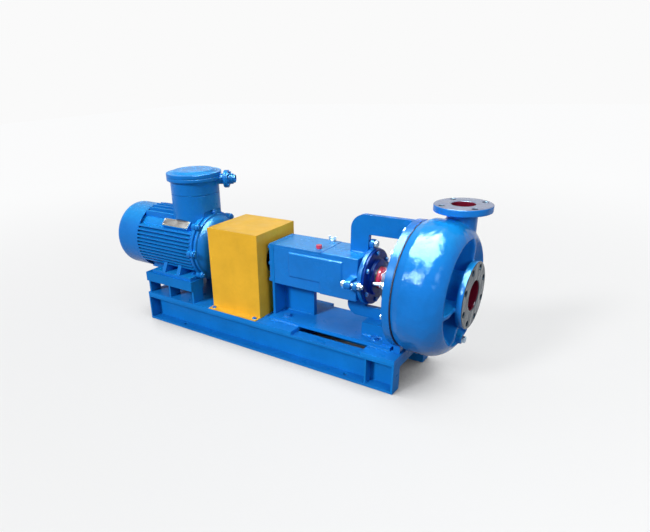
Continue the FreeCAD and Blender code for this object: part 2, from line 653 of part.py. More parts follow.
def make_adjusters():
    """Two studs in the lugs of the bearing box, their nuts on the cartridge's ears and one jack bolt."""
    studs = []
    nuts = []
    size = f"adjust_stud_radius * {HEAD_WIDTH}"
    seat = "box_right - lug_length"
    start = f"{seat} - stud_tail"
    for side in (-1, 1):
        y = f"{side} * ear_circle"
        stud = rod("adjust_stud_radius", f"flange_face + nut_height + stud_past_nut - ({start})",
                   (start, y, "shaft_height"))
        head = hexagon(size, "nut_height", (f"{seat} - nut_height", y, "shaft_height"))
        studs.append(fuse([stud, head]))
        nut = hexagon(size, "nut_height", ("flange_face", y, "shaft_height"))
        hole = rod("adjust_stud_radius + slide_gap * 2", "nut_height + through",
                   ("flange_face - 1", y, "shaft_height"))
        nuts.append(cut(nut, [hole]))
    top = "shaft_height + ear_circle"
    tip = "arch_right + jack_gap"
    nuts.append(fuse([hexagon(size, "nut_height", ("flange_face", "0", top)),
                      rod("adjust_stud_radius", f"flange_face - ({tip})", (tip, "0", top))]))
    keep("adjusting_studs", group(studs))
    keep("adjusting_nuts", group(nuts))


def make_rear_cover():
    left = "pedestal_left - end_plate_thick - rear_cover_thick"
    low = "shaft_height - rear_cover_drop"
    bolt_rows = ("shaft_height - rear_bolt_rise", "shaft_height", "shaft_height + rear_bolt_rise")
    places = [(f"{side} * rear_bolt_side", z) for side in (-1, 1) for z in bolt_rows]
    cover = plate("YZ_Plane", rectangle("-box_half_width", low, "box_half_width", "box_top"),
                  "rear_cover_thick", (left, "0", "0"),
                  [("0", "shaft_height", "shaft_collar + seal_height")])
    boss = tube("shaft_collar + seal_height + rear_boss_wall", "shaft_collar + seal_height",
                f"{left} - rear_boss", left)
    keep("rear_bearing_cover", fuse([cover, boss]))
    frame_bolts.extend([hexagon(f"cover_bolt_radius * {HEAD_WIDTH}", "rear_bolt_head",
                                (f"{left} - rear_bolt_head", y, z)) for y, z in places])
    keep("rear_oil_seal", tube("shaft_collar + seal_height - slide_gap", "shaft_collar + slide_gap",
                               f"{left} - rear_boss + seal_inset", "pedestal_left - end_plate_thick - 1"))


# Bearings

def ball_bearing(start, width, outer, inner, ball):
    """A ball bearing on the shaft line: two grooved rings and a row of balls."""
    track = f"(({outer}) + ({inner})) / 2"
    middle = f"{start} + ({width}) / 2"
    groove = doc.addObject("Part::Torus", "Groove")
    groove.setExpression("Radius1", bound(track))
    groove.setExpression("Radius2", bound(f"{ball} + seat_gap"))
    place(groove, (middle, "0", "shaft_height"), TURN_TO_X)
    outer_race = cut(tube(outer, f"{outer} - race_thick", start, f"{start} + {width}"), [groove])
    inner_race = cut(tube(f"{inner} + race_thick", inner, start, f"{start} + {width}"), [groove])
    return outer_race, inner_race, ball_row(track, middle, ball)


def ball_row(track, middle, ball):
    balls = []
    for index in range(BALLS):
        y, z = across(track, 360 / BALLS * index)
        sphere = doc.addObject("Part::Sphere", "Ball")
        sphere.setExpression("Radius", bound(ball))
        balls.append(place(sphere, (middle, y, z)))
    return group(balls)


def make_pump_bearings():
    inner = "shaft_radius + slide_gap"
    thrust = ball_bearing("thrust_at", "thrust_width", "bearing_radius", inner, "ball_radius")
    radial = ball_bearing("radial_at", "radial_width", "bearing_radius", inner, "ball_radius")
    labels = ("pump_outer_races", "pump_inner_races", "pump_bearing_balls")
    for label, first, second in zip(labels, thrust, radial):
        keep(label, group([first, second]))


# Pump shaft line

def make_pump_shaft():
    left = "pump_hub_face + shoulder_depth"
    shaft = turned([(left, "0"), ("shaft_end", "0"), ("shaft_end", "nose_radius"),
                    ("impeller_back", "nose_radius"), ("impeller_back", "shaft_radius"),
                    (left, "shaft_radius")])
    stretches = (("rear_collar_left", "thrust_at - slide_gap"),
                 ("thrust_at + thrust_width + slide_gap", "radial_at - slide_gap"),
                 ("radial_at + radial_width + slide_gap", "front_collar_right"))
    collars = [tube("shaft_collar", "shaft_radius - 1", start, end) for start, end in stretches]
    keep("pump_shaft", fuse([shaft] + collars))
    bore = "shaft_radius + slide_gap"
    right = "deflector_at + deflector_width"
    keep("oil_deflector", turned([("deflector_at", bore), (right, bore),
                                  (right, "deflector_radius - deflector_edge"),
                                  (f"{right} - deflector_edge", "deflector_radius"),
                                  ("deflector_at", "deflector_radius")]))
    keep("shaft_sleeve", tube("sleeve_radius", bore, "sleeve_left", "impeller_back - slide_gap"))


# Stuffing box, packing and gland

def oval_flange(start, thick):
    """A two-bolt gland flange: a disc with its top and bottom cut flat."""
    disc = rod("gland_flange_radius", thick, (start, "0", "shaft_height"))
    band = box((thick, "2 * gland_flange_radius", "2 * gland_half_height"),
               (start, "-gland_flange_radius", "shaft_height - gland_half_height"))
    return common(disc, band)


def side_rods(radius, length, start):
    """One rod through each of the gland's two bolt places."""
    return [rod(radius, length, (start, f"{side} * gland_bolt_side", "shaft_height")) for side in (-1, 1)]


def make_stuffing_box():
    throat = "ring_front - throat_depth"
    throat_bore = "sleeve_radius + seat_gap * 2"
    shell = turned([("stuffing_left", "stuffing_bore"), (throat, "stuffing_bore"), (throat, throat_bore),
                    ("chamber_back", throat_bore), ("chamber_back", "plate_radius"),
                    ("ring_front", "plate_radius"), ("ring_front", "stuffing_radius + stuffing_fillet"),
                    ("ring_front - stuffing_fillet", "stuffing_radius"), ("stuffing_left", "stuffing_radius")])
    flange = oval_flange("stuffing_left", "gland_flange_thick")
    bore = rod("stuffing_bore", "gland_flange_thick + through", ("stuffing_left - 1", "0", "shaft_height"))
    holes = side_rods("gland_stud_radius + slide_gap", "gland_flange_thick + through", "stuffing_left - 1")
    keep("stuffing_box", cut(fuse([cut(flange, [bore]), shell]), holes))
    make_packing(throat)
    make_gland(f"{throat} - {PACKING_RINGS} * packing_pitch - seat_gap")


def make_packing(throat):
    """Rings of packing from the throat outwards, with the lantern ring among them."""
    rings = []
    for index in range(PACKING_RINGS):
        end = f"{throat} - slide_gap - {index} * packing_pitch"
        start = f"{end} - packing_pitch + slide_gap"
        ring = tube("stuffing_bore - slide_gap", "sleeve_radius + seat_gap", start, end)
        if index == LANTERN_PLACE:
            keep("lantern_ring", ring)
        else:
            rings.append(ring)
    keep("packing_rings", group(rings))


def make_gland(nose_end):
    left = "stuffing_left - gland_gap - gland_flange_thick"
    nose = tube("stuffing_bore - 2 * slide_gap", "sleeve_radius + seat_gap", "stuffing_left - gland_gap - 1",
                nose_end)
    clear = rod("sleeve_radius + seat_gap", "gland_flange_thick + through",
                (f"{left} - 1", "0", "shaft_height"))
    stud_clear = side_rods("gland_stud_radius + seat_gap", "gland_flange_thick + through", f"{left} - 1")
    keep("gland_follower", fuse([nose, cut(oval_flange(left, "gland_flange_thick"), [clear] + stud_clear)]))
    keep("gland_studs", group(side_rods("gland_stud_radius", "gland_stud_length",
                                        "stuffing_left + gland_flange_thick - gland_stud_length")))
    nuts = []
    for side, hole in zip((-1, 1), side_rods("gland_stud_radius + slide_gap", "nut_height + through",
                                             f"{left} - nut_height - 1")):
        nut = hexagon(f"gland_stud_radius * {HEAD_WIDTH}", "nut_height",
                      (f"{left} - nut_height", f"{side} * gland_bolt_side", "shaft_height"))
        nuts.append(cut(nut, [hole]))
    keep("gland_nuts", group(nuts))


# Impeller

def spun(item, angle):
    """A copy of something modelled about the X axis, turned and lifted to the shaft line."""
    copy = doc.addObject("Part::Compound", "Spun")
    copy.Links = [item]
    return place(copy, ("0", "0", "shaft_height"), Rotation(Vector(1, 0, 0), angle))


def spun_by(item, angle):
    """A copy spun as above, by an angle that is an expression."""
    copy = spun(item, 0)
    copy.setExpression("Placement.Rotation.Angle", bound(angle))
    return copy


def polar(radius, angle):
    return f"({radius}) * cos({angle})", f"({radius}) * sin({angle})"


def make_impeller():
    plate_front = "impeller_back + impeller_plate"
    bore = "nose_radius + slide_gap"
    hub = turned([("impeller_back", bore), ("impeller_nose", bore), ("impeller_nose", "impeller_hub - 8"),
                  (f"{plate_front} + hub_cone", "impeller_hub"), (plate_front, "impeller_hub + hub_cone"),
                  (plate_front, "impeller_radius"), ("impeller_back", "impeller_radius")])
    root = "impeller_hub + 6"
    outline = [polar(root, 0) + ("vane_curve", "left"), polar(root, "vane_root_angle"),
               polar("impeller_radius", "vane_sweep + vane_tip_angle") + ("vane_curve", "right"),
               polar("impeller_radius", "vane_sweep")]
    blade = plate("YZ_Plane", outline, "impeller_length", ("impeller_back + 1", "0", "0"))
    core = "impeller_hub - 10"
    envelope = turned([(f"{plate_front} - 1", core), ("eye_at - vane_gap", core),
                       ("eye_at - vane_gap", "suction_bore + 6"),
                       ("chamber_back + chamber_depth - vane_gap", "impeller_radius"),
                       (f"{plate_front} - 1", "impeller_radius")], ("0", "0", "0"))
    vane = common(blade, envelope)
    keep("impeller", fuse([hub] + [spun(vane, 360 / VANES * index) for index in range(VANES)]))


def make_impeller_nut():
    nut = fuse([hexagon("shaft_radius", "impeller_nut_length", ("impeller_nose", "0", "shaft_height")),
                rod("shaft_radius - 2", "impeller_nut_collar",
                    ("impeller_nose + impeller_nut_length", "0", "shaft_height"))])
    stud_hole = rod("nose_radius + slide_gap", "shaft_tail + through",
                    ("impeller_nose - 1", "0", "shaft_height"))
    keep("impeller_nut", cut(nut, [stud_hole]))


# Casing

def flange_holes_x():
    """The suction flange's holes straddle its centre lines."""
    return bolt_holes("flange_hole_radius", "suction_circle", SUCTION_BOLTS, 180 / SUCTION_BOLTS,
                      "suction_back - 1", "suction_flange_thick + through")


def flange_holes_z():
    holes = []
    for index in range(DISCHARGE_BOLTS):
        y, x = polar("discharge_circle", (index + 0.5) * 360 / DISCHARGE_BOLTS)
        holes.append(rod("flange_hole_radius", "discharge_flange_thick + through",
                         (f"discharge_at + {x}", f"discharge_side + {y}",
                          "discharge_top - discharge_flange_thick - 1"), "Z"))
    return holes


def drum():
    """The round body of the casing, its front shoulder turned to a large radius."""
    nose = "drum_shoulder_at + drum_shoulder"
    return turned([("joint", "0"), (nose, "0"), (nose, "drum_radius - drum_shoulder"),
                   ("drum_shoulder_at", "drum_radius", "drum_shoulder", "left"),
                   ("drum_full_at", "drum_radius"), ("joint", "drum_rear_radius")],
                  ("0", "drum_shift", "shaft_height - drum_drop"))


def rib(angle):
    """A radial rib between the suction neck and the shoulder of the drum."""
    blade = box(("drum_shoulder", "drum_radius", "rib_thick"), ("pocket_floor - 2", "0", "-rib_thick / 2"))
    return spun(blade, angle)


def pockets():
    """The hollows between the ribs around the suction neck, flared to the rim of the drum."""
    ring = turned([("pocket_floor", "suction_neck"), ("suction_back", "suction_neck"),
                   ("suction_back", "pocket_radius"), ("pocket_floor", "pocket_foot")])
    return cut(ring, [rib(angle) for angle in RIB_ANGLES])


def casing_body():
    suction = turned([("drum_shoulder_at", "0"), ("suction_face", "0"),
                      ("suction_face", "suction_flange_radius"),
                      ("suction_back", "suction_flange_radius"), ("suction_back", "suction_neck + 6"),
                      ("suction_back - suction_fillet", "suction_neck"), ("drum_shoulder_at", "suction_neck")])
    neck = rod("discharge_neck", "discharge_rise - neck_start",
               ("discharge_at", "discharge_side", "shaft_height + neck_start"), "Z")
    flange = rod("discharge_flange_radius", "discharge_flange_thick",
                 ("discharge_at", "discharge_side", "discharge_top - discharge_flange_thick"), "Z")
    boss = rod("drain_plug_radius + drain_boss_wall", "drain_boss_length", ("drain_at", "0", "drain_height"))
    return fuse([cut(drum(), [pockets()]), suction, neck, flange, boss])


def pump_chamber():
    """The room of the impeller, a cone that narrows to the eye, with the seat of the back plate."""
    recess_front = "chamber_back + seat_gap"
    seat = "plate_radius + seat_gap"
    return turned([("joint - 1", "0"), ("suction_face + 1", "0"), ("suction_face + 1", "suction_bore"),
                   ("eye_at + eye_seat_depth", "suction_bore"),
                   ("eye_at + eye_seat_depth", "suction_bore + bore_step"),
                   ("eye_at", "suction_bore + bore_step"), ("chamber_back + chamber_depth", "chamber_radius"),
                   (recess_front, "chamber_radius"), (recess_front, seat), ("joint - 1", seat)])


def make_casing():
    outlet = rod("discharge_bore", "discharge_rise - neck_start",
                 ("discharge_at", "discharge_side", "shaft_height + neck_start + 1"), "Z")
    outlet_foot = rod("discharge_bore + bore_step", "throat_top - neck_start",
                      ("discharge_at", "discharge_side", "shaft_height + neck_start + 1"), "Z")
    throat_start = "chamber_back + throat_inset"
    throat = box((f"discharge_at - ({throat_start})", "2 * (discharge_bore - throat_inset)", "throat_height"),
                 (throat_start, "discharge_side - discharge_bore + throat_inset", "shaft_height + neck_start"))
    drain_hole = rod("drain_plug_radius", "drain_boss_length", ("drain_at + 1", "0", "drain_height"))
    sockets = casing_bolt_holes("joint - 1", "casing_bolt_depth + 1")
    tools = [pump_chamber(), outlet, outlet_foot, throat, drain_hole]
    tools += sockets + flange_holes_x() + flange_holes_z()
    keep("casing", cut(casing_body(), tools))
    boss_face = "drain_at + drain_boss_length"
    plug = fuse([rod("drain_plug_radius - slide_gap", "drain_plug_depth",
                     (f"{boss_face} - drain_plug_depth", "0", "drain_height")),
                 hexagon("drain_plug_radius + 4", "drain_plug_head", (boss_face, "0", "drain_height"))])
    keep("casing_drain_plug", plug)
    gasket = tube("drum_rear_radius - 1", "plate_radius + seat_gap", "ring_front", "joint")
    keep("casing_gasket", cut(gasket, casing_bolt_holes("ring_front - 1", "gasket_thick + through")))
    keep("casing_bolts", bolts("casing_bolt_radius", "casing_bolt_circle", CASING_BOLTS, "casing_bolt_first",
                               "ring_back", "casing_bolt_head", "joint + casing_bolt_depth - 2"))


# Coupling and guard

def sector(inner, outer, first, last):
    """A piece of a ring between two angles."""
    return [polar(inner, first) + (inner, "right"), polar(outer, first),
            polar(outer, last) + (outer, "left"), polar(inner, last)]


def jaws(first, count, width, start, depth):
    """Equal sectors about the shaft line."""
    tooth = plate("YZ_Plane", sector("jaw_inner", "hub_radius - 2", 0, width), depth, (start, "0", "0"))
    return [spun_by(tooth, f"{first} + {360 / count * index}") for index in range(count)]


def hub(name, left, jaw_start, first, shaft):
    body = tube("hub_radius", f"{shaft} + slide_gap", left, f"{left} + hub_length")
    keep(name, fuse([body] + jaws(first, JAWS, "jaw_width", jaw_start, "jaw_depth")))


def make_coupling():
    """Two hubs whose jaws mesh by turns, with a leg of the spider in each gap."""
    half_step = 180 / JAWS
    hub("coupling_hub_pump", "pump_hub_face", "pump_hub_face - jaw_depth", 0, "shaft_radius")
    hub("coupling_hub_motor", "motor_hub_face - hub_length", "motor_hub_face", half_step, "motor_shaft_radius")
    first = f"({half_step} - leg_width + jaw_width) / 2"
    legs = jaws(first, 2 * JAWS, "leg_width", "spider_left", "spider_width")
    inner = "jaw_inner - 1 - spider_ring"
    ring = tube("jaw_inner - 1", inner, "spider_left", "spider_left + spider_width")
    root = plate("YZ_Plane", sector(inner, "jaw_inner + 3", 0, "leg_width"), "spider_width",
                 ("spider_left", "0", "0"))
    roots = [spun_by(root, f"{first} + {half_step * index}") for index in range(2 * JAWS)]
    keep("coupling_spider", fuse(legs + [ring] + roots))


def make_guard():
    """A folded cover open below, with a window for the shaft at each end."""
    length = "guard_left + guard_right"
    outer = box((length, "2 * guard_half_width", "guard_top - deck_top"),
                ("-guard_left", "-guard_half_width", "deck_top"))
    inner = box((f"{length} - 2 * guard_wall", "2 * (guard_half_width - guard_wall)",
                 "guard_top - guard_wall - deck_top + 1"),
                ("guard_wall - guard_left", "guard_wall - guard_half_width", "deck_top - 1"))
    feet = [box((length, "guard_foot + guard_wall", "guard_wall"), ("-guard_left", y, "deck_top"))
            for y in ("-guard_half_width - guard_foot", "guard_half_width - guard_wall")]
    shaft_window = rod("guard_window", f"{length} + through", ("-guard_left - 1", "0", "shaft_height"))
    places = [(x, f"{side} * (guard_half_width + guard_foot / 2)")
              for x in ("guard_bolt_inset - guard_left", "guard_right - guard_bolt_inset") for side in (-1, 1)]
    holes = [rod("guard_bolt_radius + seat_gap", "guard_wall + through", (x, y, "deck_top - 1"), "Z")
             for x, y in places]
    keep("coupling_guard", cut(fuse([outer] + feet), [inner, shaft_window] + holes))
    frame_bolts.extend([upright_bolt(x, y, "deck_top + guard_wall", "guard_bolt_radius", "guard_bolt_head",
                                     "guard_wall") for x, y in places])


def upright_bolt(x, y, seat, radius, head, depth):
    """A hexagon bolt whose head sits on top at a height and whose shank goes down from there."""
    return fuse([hexagon(f"({radius}) * {HEAD_WIDTH}", head, (x, y, seat), "Z"),
                 rod(radius, depth, (x, y, f"{seat} - ({depth})"), "Z")])


# Motor

def fins():
    """Level fins on both sides and upright ones above and below, ended on one round outline."""
    length = "motor_left - motor_right + fin_overlap"
    low = "shaft_height - motor_fin_radius"
    slabs = [box((length, "2 * motor_fin_radius", "fin_thick"),
                 ("-motor_left", "-motor_fin_radius", f"shaft_height + {step} * fin_pitch - fin_thick / 2"))
             for step in LEVEL_FINS]
    slabs += [box((length, "fin_thick", "2 * motor_fin_radius"),
                  ("-motor_left", f"{step * UPRIGHT_FIN_SPREAD} * fin_pitch - fin_thick / 2", low))
              for step in UPRIGHT_FINS]
    outline = rod("motor_fin_radius", length, ("-motor_left", "0", "shaft_height"))
    return common(fuse(slabs), outline)


def motor_foot(side):
    """A pad with two webs that lean out from the frame."""
    pad = box(("motor_foot_left - motor_foot_right", "foot_outer - foot_inner", "foot_thick"),
              ("-motor_foot_left", "-foot_outer" if side < 0 else "foot_inner", "stand_top"))
    top = "stand_top + foot_web_rise"
    outline = [(f"{side} * foot_inner", "stand_top"), (f"{side} * foot_outer", "stand_top"),
               (f"{side} * foot_outer", "stand_top + foot_thick"),
               (f"{side} * (foot_inner + foot_web_top)", top),
               (f"{side} * foot_inner", top)]
    webs = [plate("YZ_Plane", outline, "foot_web", (x, "0", "0")) for x in FOOT_WEBS]
    holes = [rod("foot_bolt_radius + seat_gap", "foot_thick + through",
                 (x, f"{side} * foot_bolt_side", "stand_top - 1"), "Z") for x in FOOT_BOLTS]
    return cut(fuse([pad] + webs), holes)


def bell_bolt_places():
    return [across("bell_bolt_circle", 360 / BELL_BOLTS * index) for index in range(BELL_BOLTS)]


def make_motor_frame():
    core_length = "motor_left + drive_face"
    core = rod("motor_core_radius", core_length, ("-motor_left", "0", "shaft_height"))
    ring = rod("end_ring_radius", "end_ring_thick", ("-motor_right", "0", "shaft_height"))
    ears = [rod("bell_ear", "end_ring_thick", ("-motor_right", y, z)) for y, z in bell_bolt_places()]
    neck = rod("terminal_neck", "terminal_rise - neck_start",
               ("-terminal_at", "0", "shaft_height + neck_start"), "Z")
    bore = rod("motor_bore", f"{core_length} + through", ("-motor_left - 1", "0", "shaft_height"))
    duct = rod("terminal_duct", "terminal_rise",
               ("-terminal_at", "0", "shaft_height + neck_start + 10"), "Z")
    solid = fuse([core, ring, neck, fins(), nameplate_pad(), motor_foot(-1), motor_foot(1)] + ears)
    holes = bolt_holes("bell_bolt_radius", "bell_bolt_circle", BELL_BOLTS, 0, "-motor_right - 1",
                       "end_ring_thick + through")
    bell_relief = rod("bell_bolt_circle + bell_ear + seat_gap", "bell_length",
                      ("drive_face", "0", "shaft_height"))
    keep("motor_frame", cut(solid, [bore, duct, bell_relief, nameplate_relief()] + holes))


def make_motor_inside():
    core_right = "core_length - core_at"
    keep("stator_core", tube("motor_bore - slide_gap", "rotor_radius + air_gap", "-core_at", core_right))
    winding = [tube("motor_bore - winding_outset", "rotor_radius + winding_inset", start,
                    f"{start} + winding_length")
               for start in ("-core_at - winding_length", core_right)]
    keep("stator_windings", group(winding))
    thick = "motor_shaft_radius + rotor_step"
    keep("rotor_core", tube("rotor_radius", f"{thick} + slide_gap", "-core_at", core_right))
    front_start = "drive_face - spigot_depth - slide_gap"
    rear_start = "spigot_depth + slide_gap - motor_left - motor_bearing_width"
    right = "motor_hub_face - through"
    step_right = f"{front_start} - slide_gap"
    step_left = f"{rear_start} + motor_bearing_width + slide_gap"
    keep("motor_shaft", turned([("fan_at - through", "0"), (right, "0"), (right, "motor_shaft_radius"),
                                (step_right, "motor_shaft_radius"), (step_right, thick), (step_left, thick),
                                (step_left, "motor_shaft_radius"),
                                ("fan_at - through", "motor_shaft_radius")]))
    bearings = [tube("motor_bearing_radius", "motor_shaft_radius + slide_gap", start,
                     f"{start} + motor_bearing_width")
                for start in (front_start, rear_start)]
    keep("motor_bearings", group(bearings))


def end_bell(start, outward, flange, depth):
    """A domed end shield with a bearing seat and a spigot that enters the frame; outward is 1 or -1."""
    def at(distance):
        return f"{start} + {outward} * ({distance})"
    spigot = at("-spigot_depth")
    face = at("0")
    shoulder = at("bell_flange_thick")
    cover = at("motor_bearing_width - spigot_depth")
    bearing = "motor_bearing_radius + slide_gap"
    seat_wall = "motor_bearing_radius + bearing_wall"
    shaft_hole = "motor_shaft_radius + 2"
    spigot_radius = "motor_bore - seat_gap"
    spigot_inner = "motor_bore - bearing_wall"
    outline = [(spigot, bearing), (cover, bearing), (cover, shaft_hole), (at(depth), shaft_hole),
               (at(depth), "bell_hub"), (at(f"{depth} - bell_boss"), "bell_hub + 8"),
               (shoulder, f"{flange} - 8", "bell_dome", "left" if outward > 0 else "right"),
               (shoulder, flange), (face, flange), (face, spigot_radius), (spigot, spigot_radius),
               (spigot, spigot_inner), (face, spigot_inner), (face, seat_wall), (spigot, seat_wall)]
    return turned(outline)


def make_end_bells():
    front = end_bell("drive_face", 1, "bell_flange", "bell_length")
    ears = [rod("bell_ear", "bell_flange_thick", ("drive_face", y, z)) for y, z in bell_bolt_places()]
    holes = bolt_holes("bell_bolt_radius + seat_gap", "bell_bolt_circle", BELL_BOLTS, 0, "drive_face - 1",
                       "bell_flange_thick + through")
    keep("end_bell_front", cut(fuse([front] + ears), holes))
    items = []
    for y, z in bell_bolt_places():
        head = hexagon(f"bell_bolt_radius * {HEAD_WIDTH}", "bell_bolt_head",
                       ("drive_face + bell_flange_thick", y, z))
        shank = rod("bell_bolt_radius - slide_gap", "end_ring_thick + bell_flange_thick",
                    ("-motor_right", y, z))
        items.append(fuse([head, shank]))
    keep("end_bell_bolts", group(items))
    keep("end_bell_rear", end_bell("-motor_left", -1, "motor_core_radius", "rear_bell_length"))


def make_fan():
    hub_ring = tube("fan_hub", "motor_shaft_radius + slide_gap", "fan_at", "fan_at + fan_hub_length")
    disc_right = "fan_at + fan_hub_length - 1"
    disc = tube("fan_radius", "fan_hub - 2", f"{disc_right} - fan_disc", disc_right)
    blade = box(("fan_blade_depth", "fan_radius - fan_hub + 2", "fan_blade"),
                ("fan_at + fan_blade", "fan_hub - 2", "-fan_blade / 2"))
    blades = [spun(blade, 360 / FAN_BLADES * index) for index in range(FAN_BLADES)]
    keep("cooling_fan", fuse([hub_ring, disc] + blades))


def make_cowl():
    """A thin pressed cover, its round corner an arc, with rings of slots for the air."""
    inner = "cowl_radius - cowl_wall"
    corner = "cowl_round - cowl_left"
    flat = "cowl_radius - cowl_round"
    shell = turned([("-cowl_left", "0"), ("-cowl_left", flat), (corner, "cowl_radius", "cowl_round", "right"),
                    ("-motor_left", "cowl_radius"), ("-motor_left", inner), (corner, inner),
                    ("cowl_wall - cowl_left", flat, "cowl_round - cowl_wall", "left"),
                    ("cowl_wall - cowl_left", "0")])
    slots = []
    for ring_number in range(1, COWL_RINGS + 1):
        radius = f"{ring_number} * cowl_slot_pitch"
        slots.append(tube(f"{radius} + cowl_slot / 2", f"{radius} - cowl_slot / 2", "-cowl_left - 1",
                          "cowl_wall - cowl_left + 1"))
    spoke = box(("cowl_wall + 4", "2 * cowl_radius", "cowl_web"),
                ("-cowl_left - 2", "-cowl_radius", "-cowl_web / 2"))
    spokes = [spun(spoke, angle) for angle in (0, 60, 120)]
    keep("fan_cowl", cut(shell, [cut(fuse(slots), [fuse(spokes)])]))


# Terminal box

def make_terminal_box():
    wall = rod("terminal_neck", "terminal_depth", ("-terminal_at", "0", "terminal_split"), "Z")
    rim = rod("terminal_rim", "terminal_flange",
              ("-terminal_at", "0", "terminal_lid_at - terminal_flange"), "Z")
    hollow = rod("terminal_neck - terminal_wall", "terminal_depth + through",
                 ("-terminal_at", "0", "terminal_split - 1"), "Z")
    entry = entry_rod("entry_radius", "entry_root", "entry_length - entry_root")
    entry_ring = entry_rod("entry_flange", "entry_length - entry_flange_thick", "entry_flange_thick")
    bore = entry_rod("entry_bore", "entry_root - 20", "entry_length")
    lid_room = rod("terminal_rim + seat_gap", "entry_radius", ("-terminal_at", "0", "terminal_lid_at"), "Z")
    keep("terminal_box", cut(fuse([wall, rim, cut(entry, [lid_room]), entry_ring]), [hollow, bore]))


def make_terminal_lid():
    body = doc.addObject("PartDesign::Body", "Lid")
    top = "terminal_lid_at + lid_rim"
    raised = f"{top} + lid_dome"
    edge = "terminal_rim - lid_ledge"
    profile = sketch(body, "XZ_Plane", [("0", "terminal_lid_at"), ("terminal_rim", "terminal_lid_at"),
                                        ("terminal_rim", top), (edge, top), (f"{edge} - lid_slope", raised),
                                        ("0", raised)])
    disc = body.newObject("PartDesign::Revolution", "Revolution")
    disc.Profile = profile
    disc.ReferenceAxis = (profile, ["V_Axis"])
    disc.Angle = 360
    keep("terminal_lid", place(body, ("-terminal_at", "0", "0")))


def make_cable_gland():
    body_start = "entry_length + gland_plate"
    nose_start = f"{body_start} + gland_body"
    gland = fuse([entry_rod("entry_flange", "entry_length", "gland_plate"),
                  entry_rod("entry_radius", body_start, "gland_body"),
                  entry_rod("entry_bore + gland_nose_wall", nose_start, "gland_nose")])
    bore = entry_rod("entry_bore", "entry_length - 1", f"{nose_start} + gland_nose")
    heads = [entry_bolt(45 + 360 / ENTRY_BOLTS * index) for index in range(ENTRY_BOLTS)]
    keep("cable_gland", group([cut(gland, [bore])] + heads))


def entry_turn():
    return Rotation(Vector(0, 0, 1), number("entry_angle")).multiply(TURN_TO_X)


def entry_rod(radius, start, length):
    """A cylinder along the cable entry, which leaves the terminal box sideways at an angle."""
    item = rod(radius, length, (f"({start}) * cos(entry_angle) - terminal_at", f"({start}) * sin(entry_angle)",
                                "entry_height"))
    item.Placement.Rotation = entry_turn()
    return item


def entry_bolt(angle):
    """A hexagon head on the gland's flange, at an angle about the entry's own axis."""
    side, rise = polar("entry_flange - entry_bolt_inset", angle)
    start = "(entry_length + gland_plate)"
    item = hexagon("entry_bolt_radius", "entry_bolt_head",
                   (f"{start} * cos(entry_angle) - {side} * sin(entry_angle) - terminal_at",
                    f"{start} * sin(entry_angle) + {side} * cos(entry_angle)", f"entry_height + {rise}"))
    item.Placement.Rotation = entry_turn()
    return item


# Fittings and the nameplate

def make_frame_bolts():
    foot_places = [(x, f"{side} * foot_bolt_side") for x in FOOT_BOLTS for side in (-1, 1)]
    frame_bolts.extend([upright_bolt(x, y, "stand_top + foot_thick", "foot_bolt_radius", "foot_bolt_head",
                                     "foot_thick + stand_wall - seat_gap") for x, y in foot_places])
    frame_bolts.extend([upright_bolt(x, y, "pedestal_top", "pedestal_bolt_radius", "pedestal_bolt_head",
                                     "pedestal_thick") for x, y in pedestal_bolt_places()])
    keep("frame_bolts", group(frame_bolts))


def nameplate_block(border, start, thick):
    """A flat block behind or around the plate; it faces up and towards the near side."""
    block = box((f"nameplate_long + 2 * {border}", thick, f"nameplate_wide + 2 * {border}"),
                (f"-nameplate_left - {border}", start, f"-nameplate_wide / 2 - {border}"))
    return spun(block, NAMEPLATE_ANGLE)


def make_nameplate():
    keep("nameplate_blank", group([nameplate_block("0", "motor_fin_radius", "nameplate_thick")]))


def nameplate_relief():
    """Room for the plate where it passes the neck of the terminal box."""
    return nameplate_block("1", "motor_fin_radius", "10 * nameplate_thick")


def nameplate_pad():
    return nameplate_block("nameplate_border", "motor_core_radius - 6",
                           "motor_fin_radius - motor_core_radius + 6")


def check_document():
    """Stop if any object failed or any piece is empty or broken."""
    doc.recompute()
    for item in doc.Objects:
        if "Invalid" in item.State or "Error" in item.State:
            raise RuntimeError(f"{item.Name} ({item.Label}) did not build")
    for label, item in pieces.items():
        if item.Shape.isNull() or not item.Shape.isValid() or item.Shape.Volume <= 0:
            raise RuntimeError(f"{label} has no sound shape")


def write_pieces():
    os.makedirs("parts", exist_ok=True)
    for label, item in pieces.items():
        item.Shape.exportStep(f"parts/{label}.step")


fill_sheet()
for make in (make_skid, make_stand, make_pedestal, make_bearing_box, make_ring, make_cartridge,
             make_front_cover, make_adjusters, make_rear_cover, make_pump_bearings, make_pump_shaft,
             make_stuffing_box, make_impeller, make_impeller_nut, make_casing, make_coupling, make_guard,
             make_motor_frame, make_motor_inside, make_end_bells, make_fan, make_cowl, make_terminal_box,
             make_terminal_lid, make_cable_gland, make_frame_bolts, make_nameplate):
    make()
check_document()
write_pieces()
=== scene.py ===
import json
import math

import bmesh
import bpy
from mathutils import Matrix, Vector


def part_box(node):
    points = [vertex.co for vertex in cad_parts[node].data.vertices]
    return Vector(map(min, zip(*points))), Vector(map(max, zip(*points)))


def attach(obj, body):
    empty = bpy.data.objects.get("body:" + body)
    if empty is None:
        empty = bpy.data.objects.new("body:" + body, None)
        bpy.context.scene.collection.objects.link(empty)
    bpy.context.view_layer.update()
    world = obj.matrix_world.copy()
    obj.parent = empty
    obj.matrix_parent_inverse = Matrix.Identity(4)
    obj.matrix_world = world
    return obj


# The looks of a gland-packed centrifugal pump set: paint, bare metal, castings with rounded edges,
# welds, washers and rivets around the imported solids. Metres, in the solids' own frame.

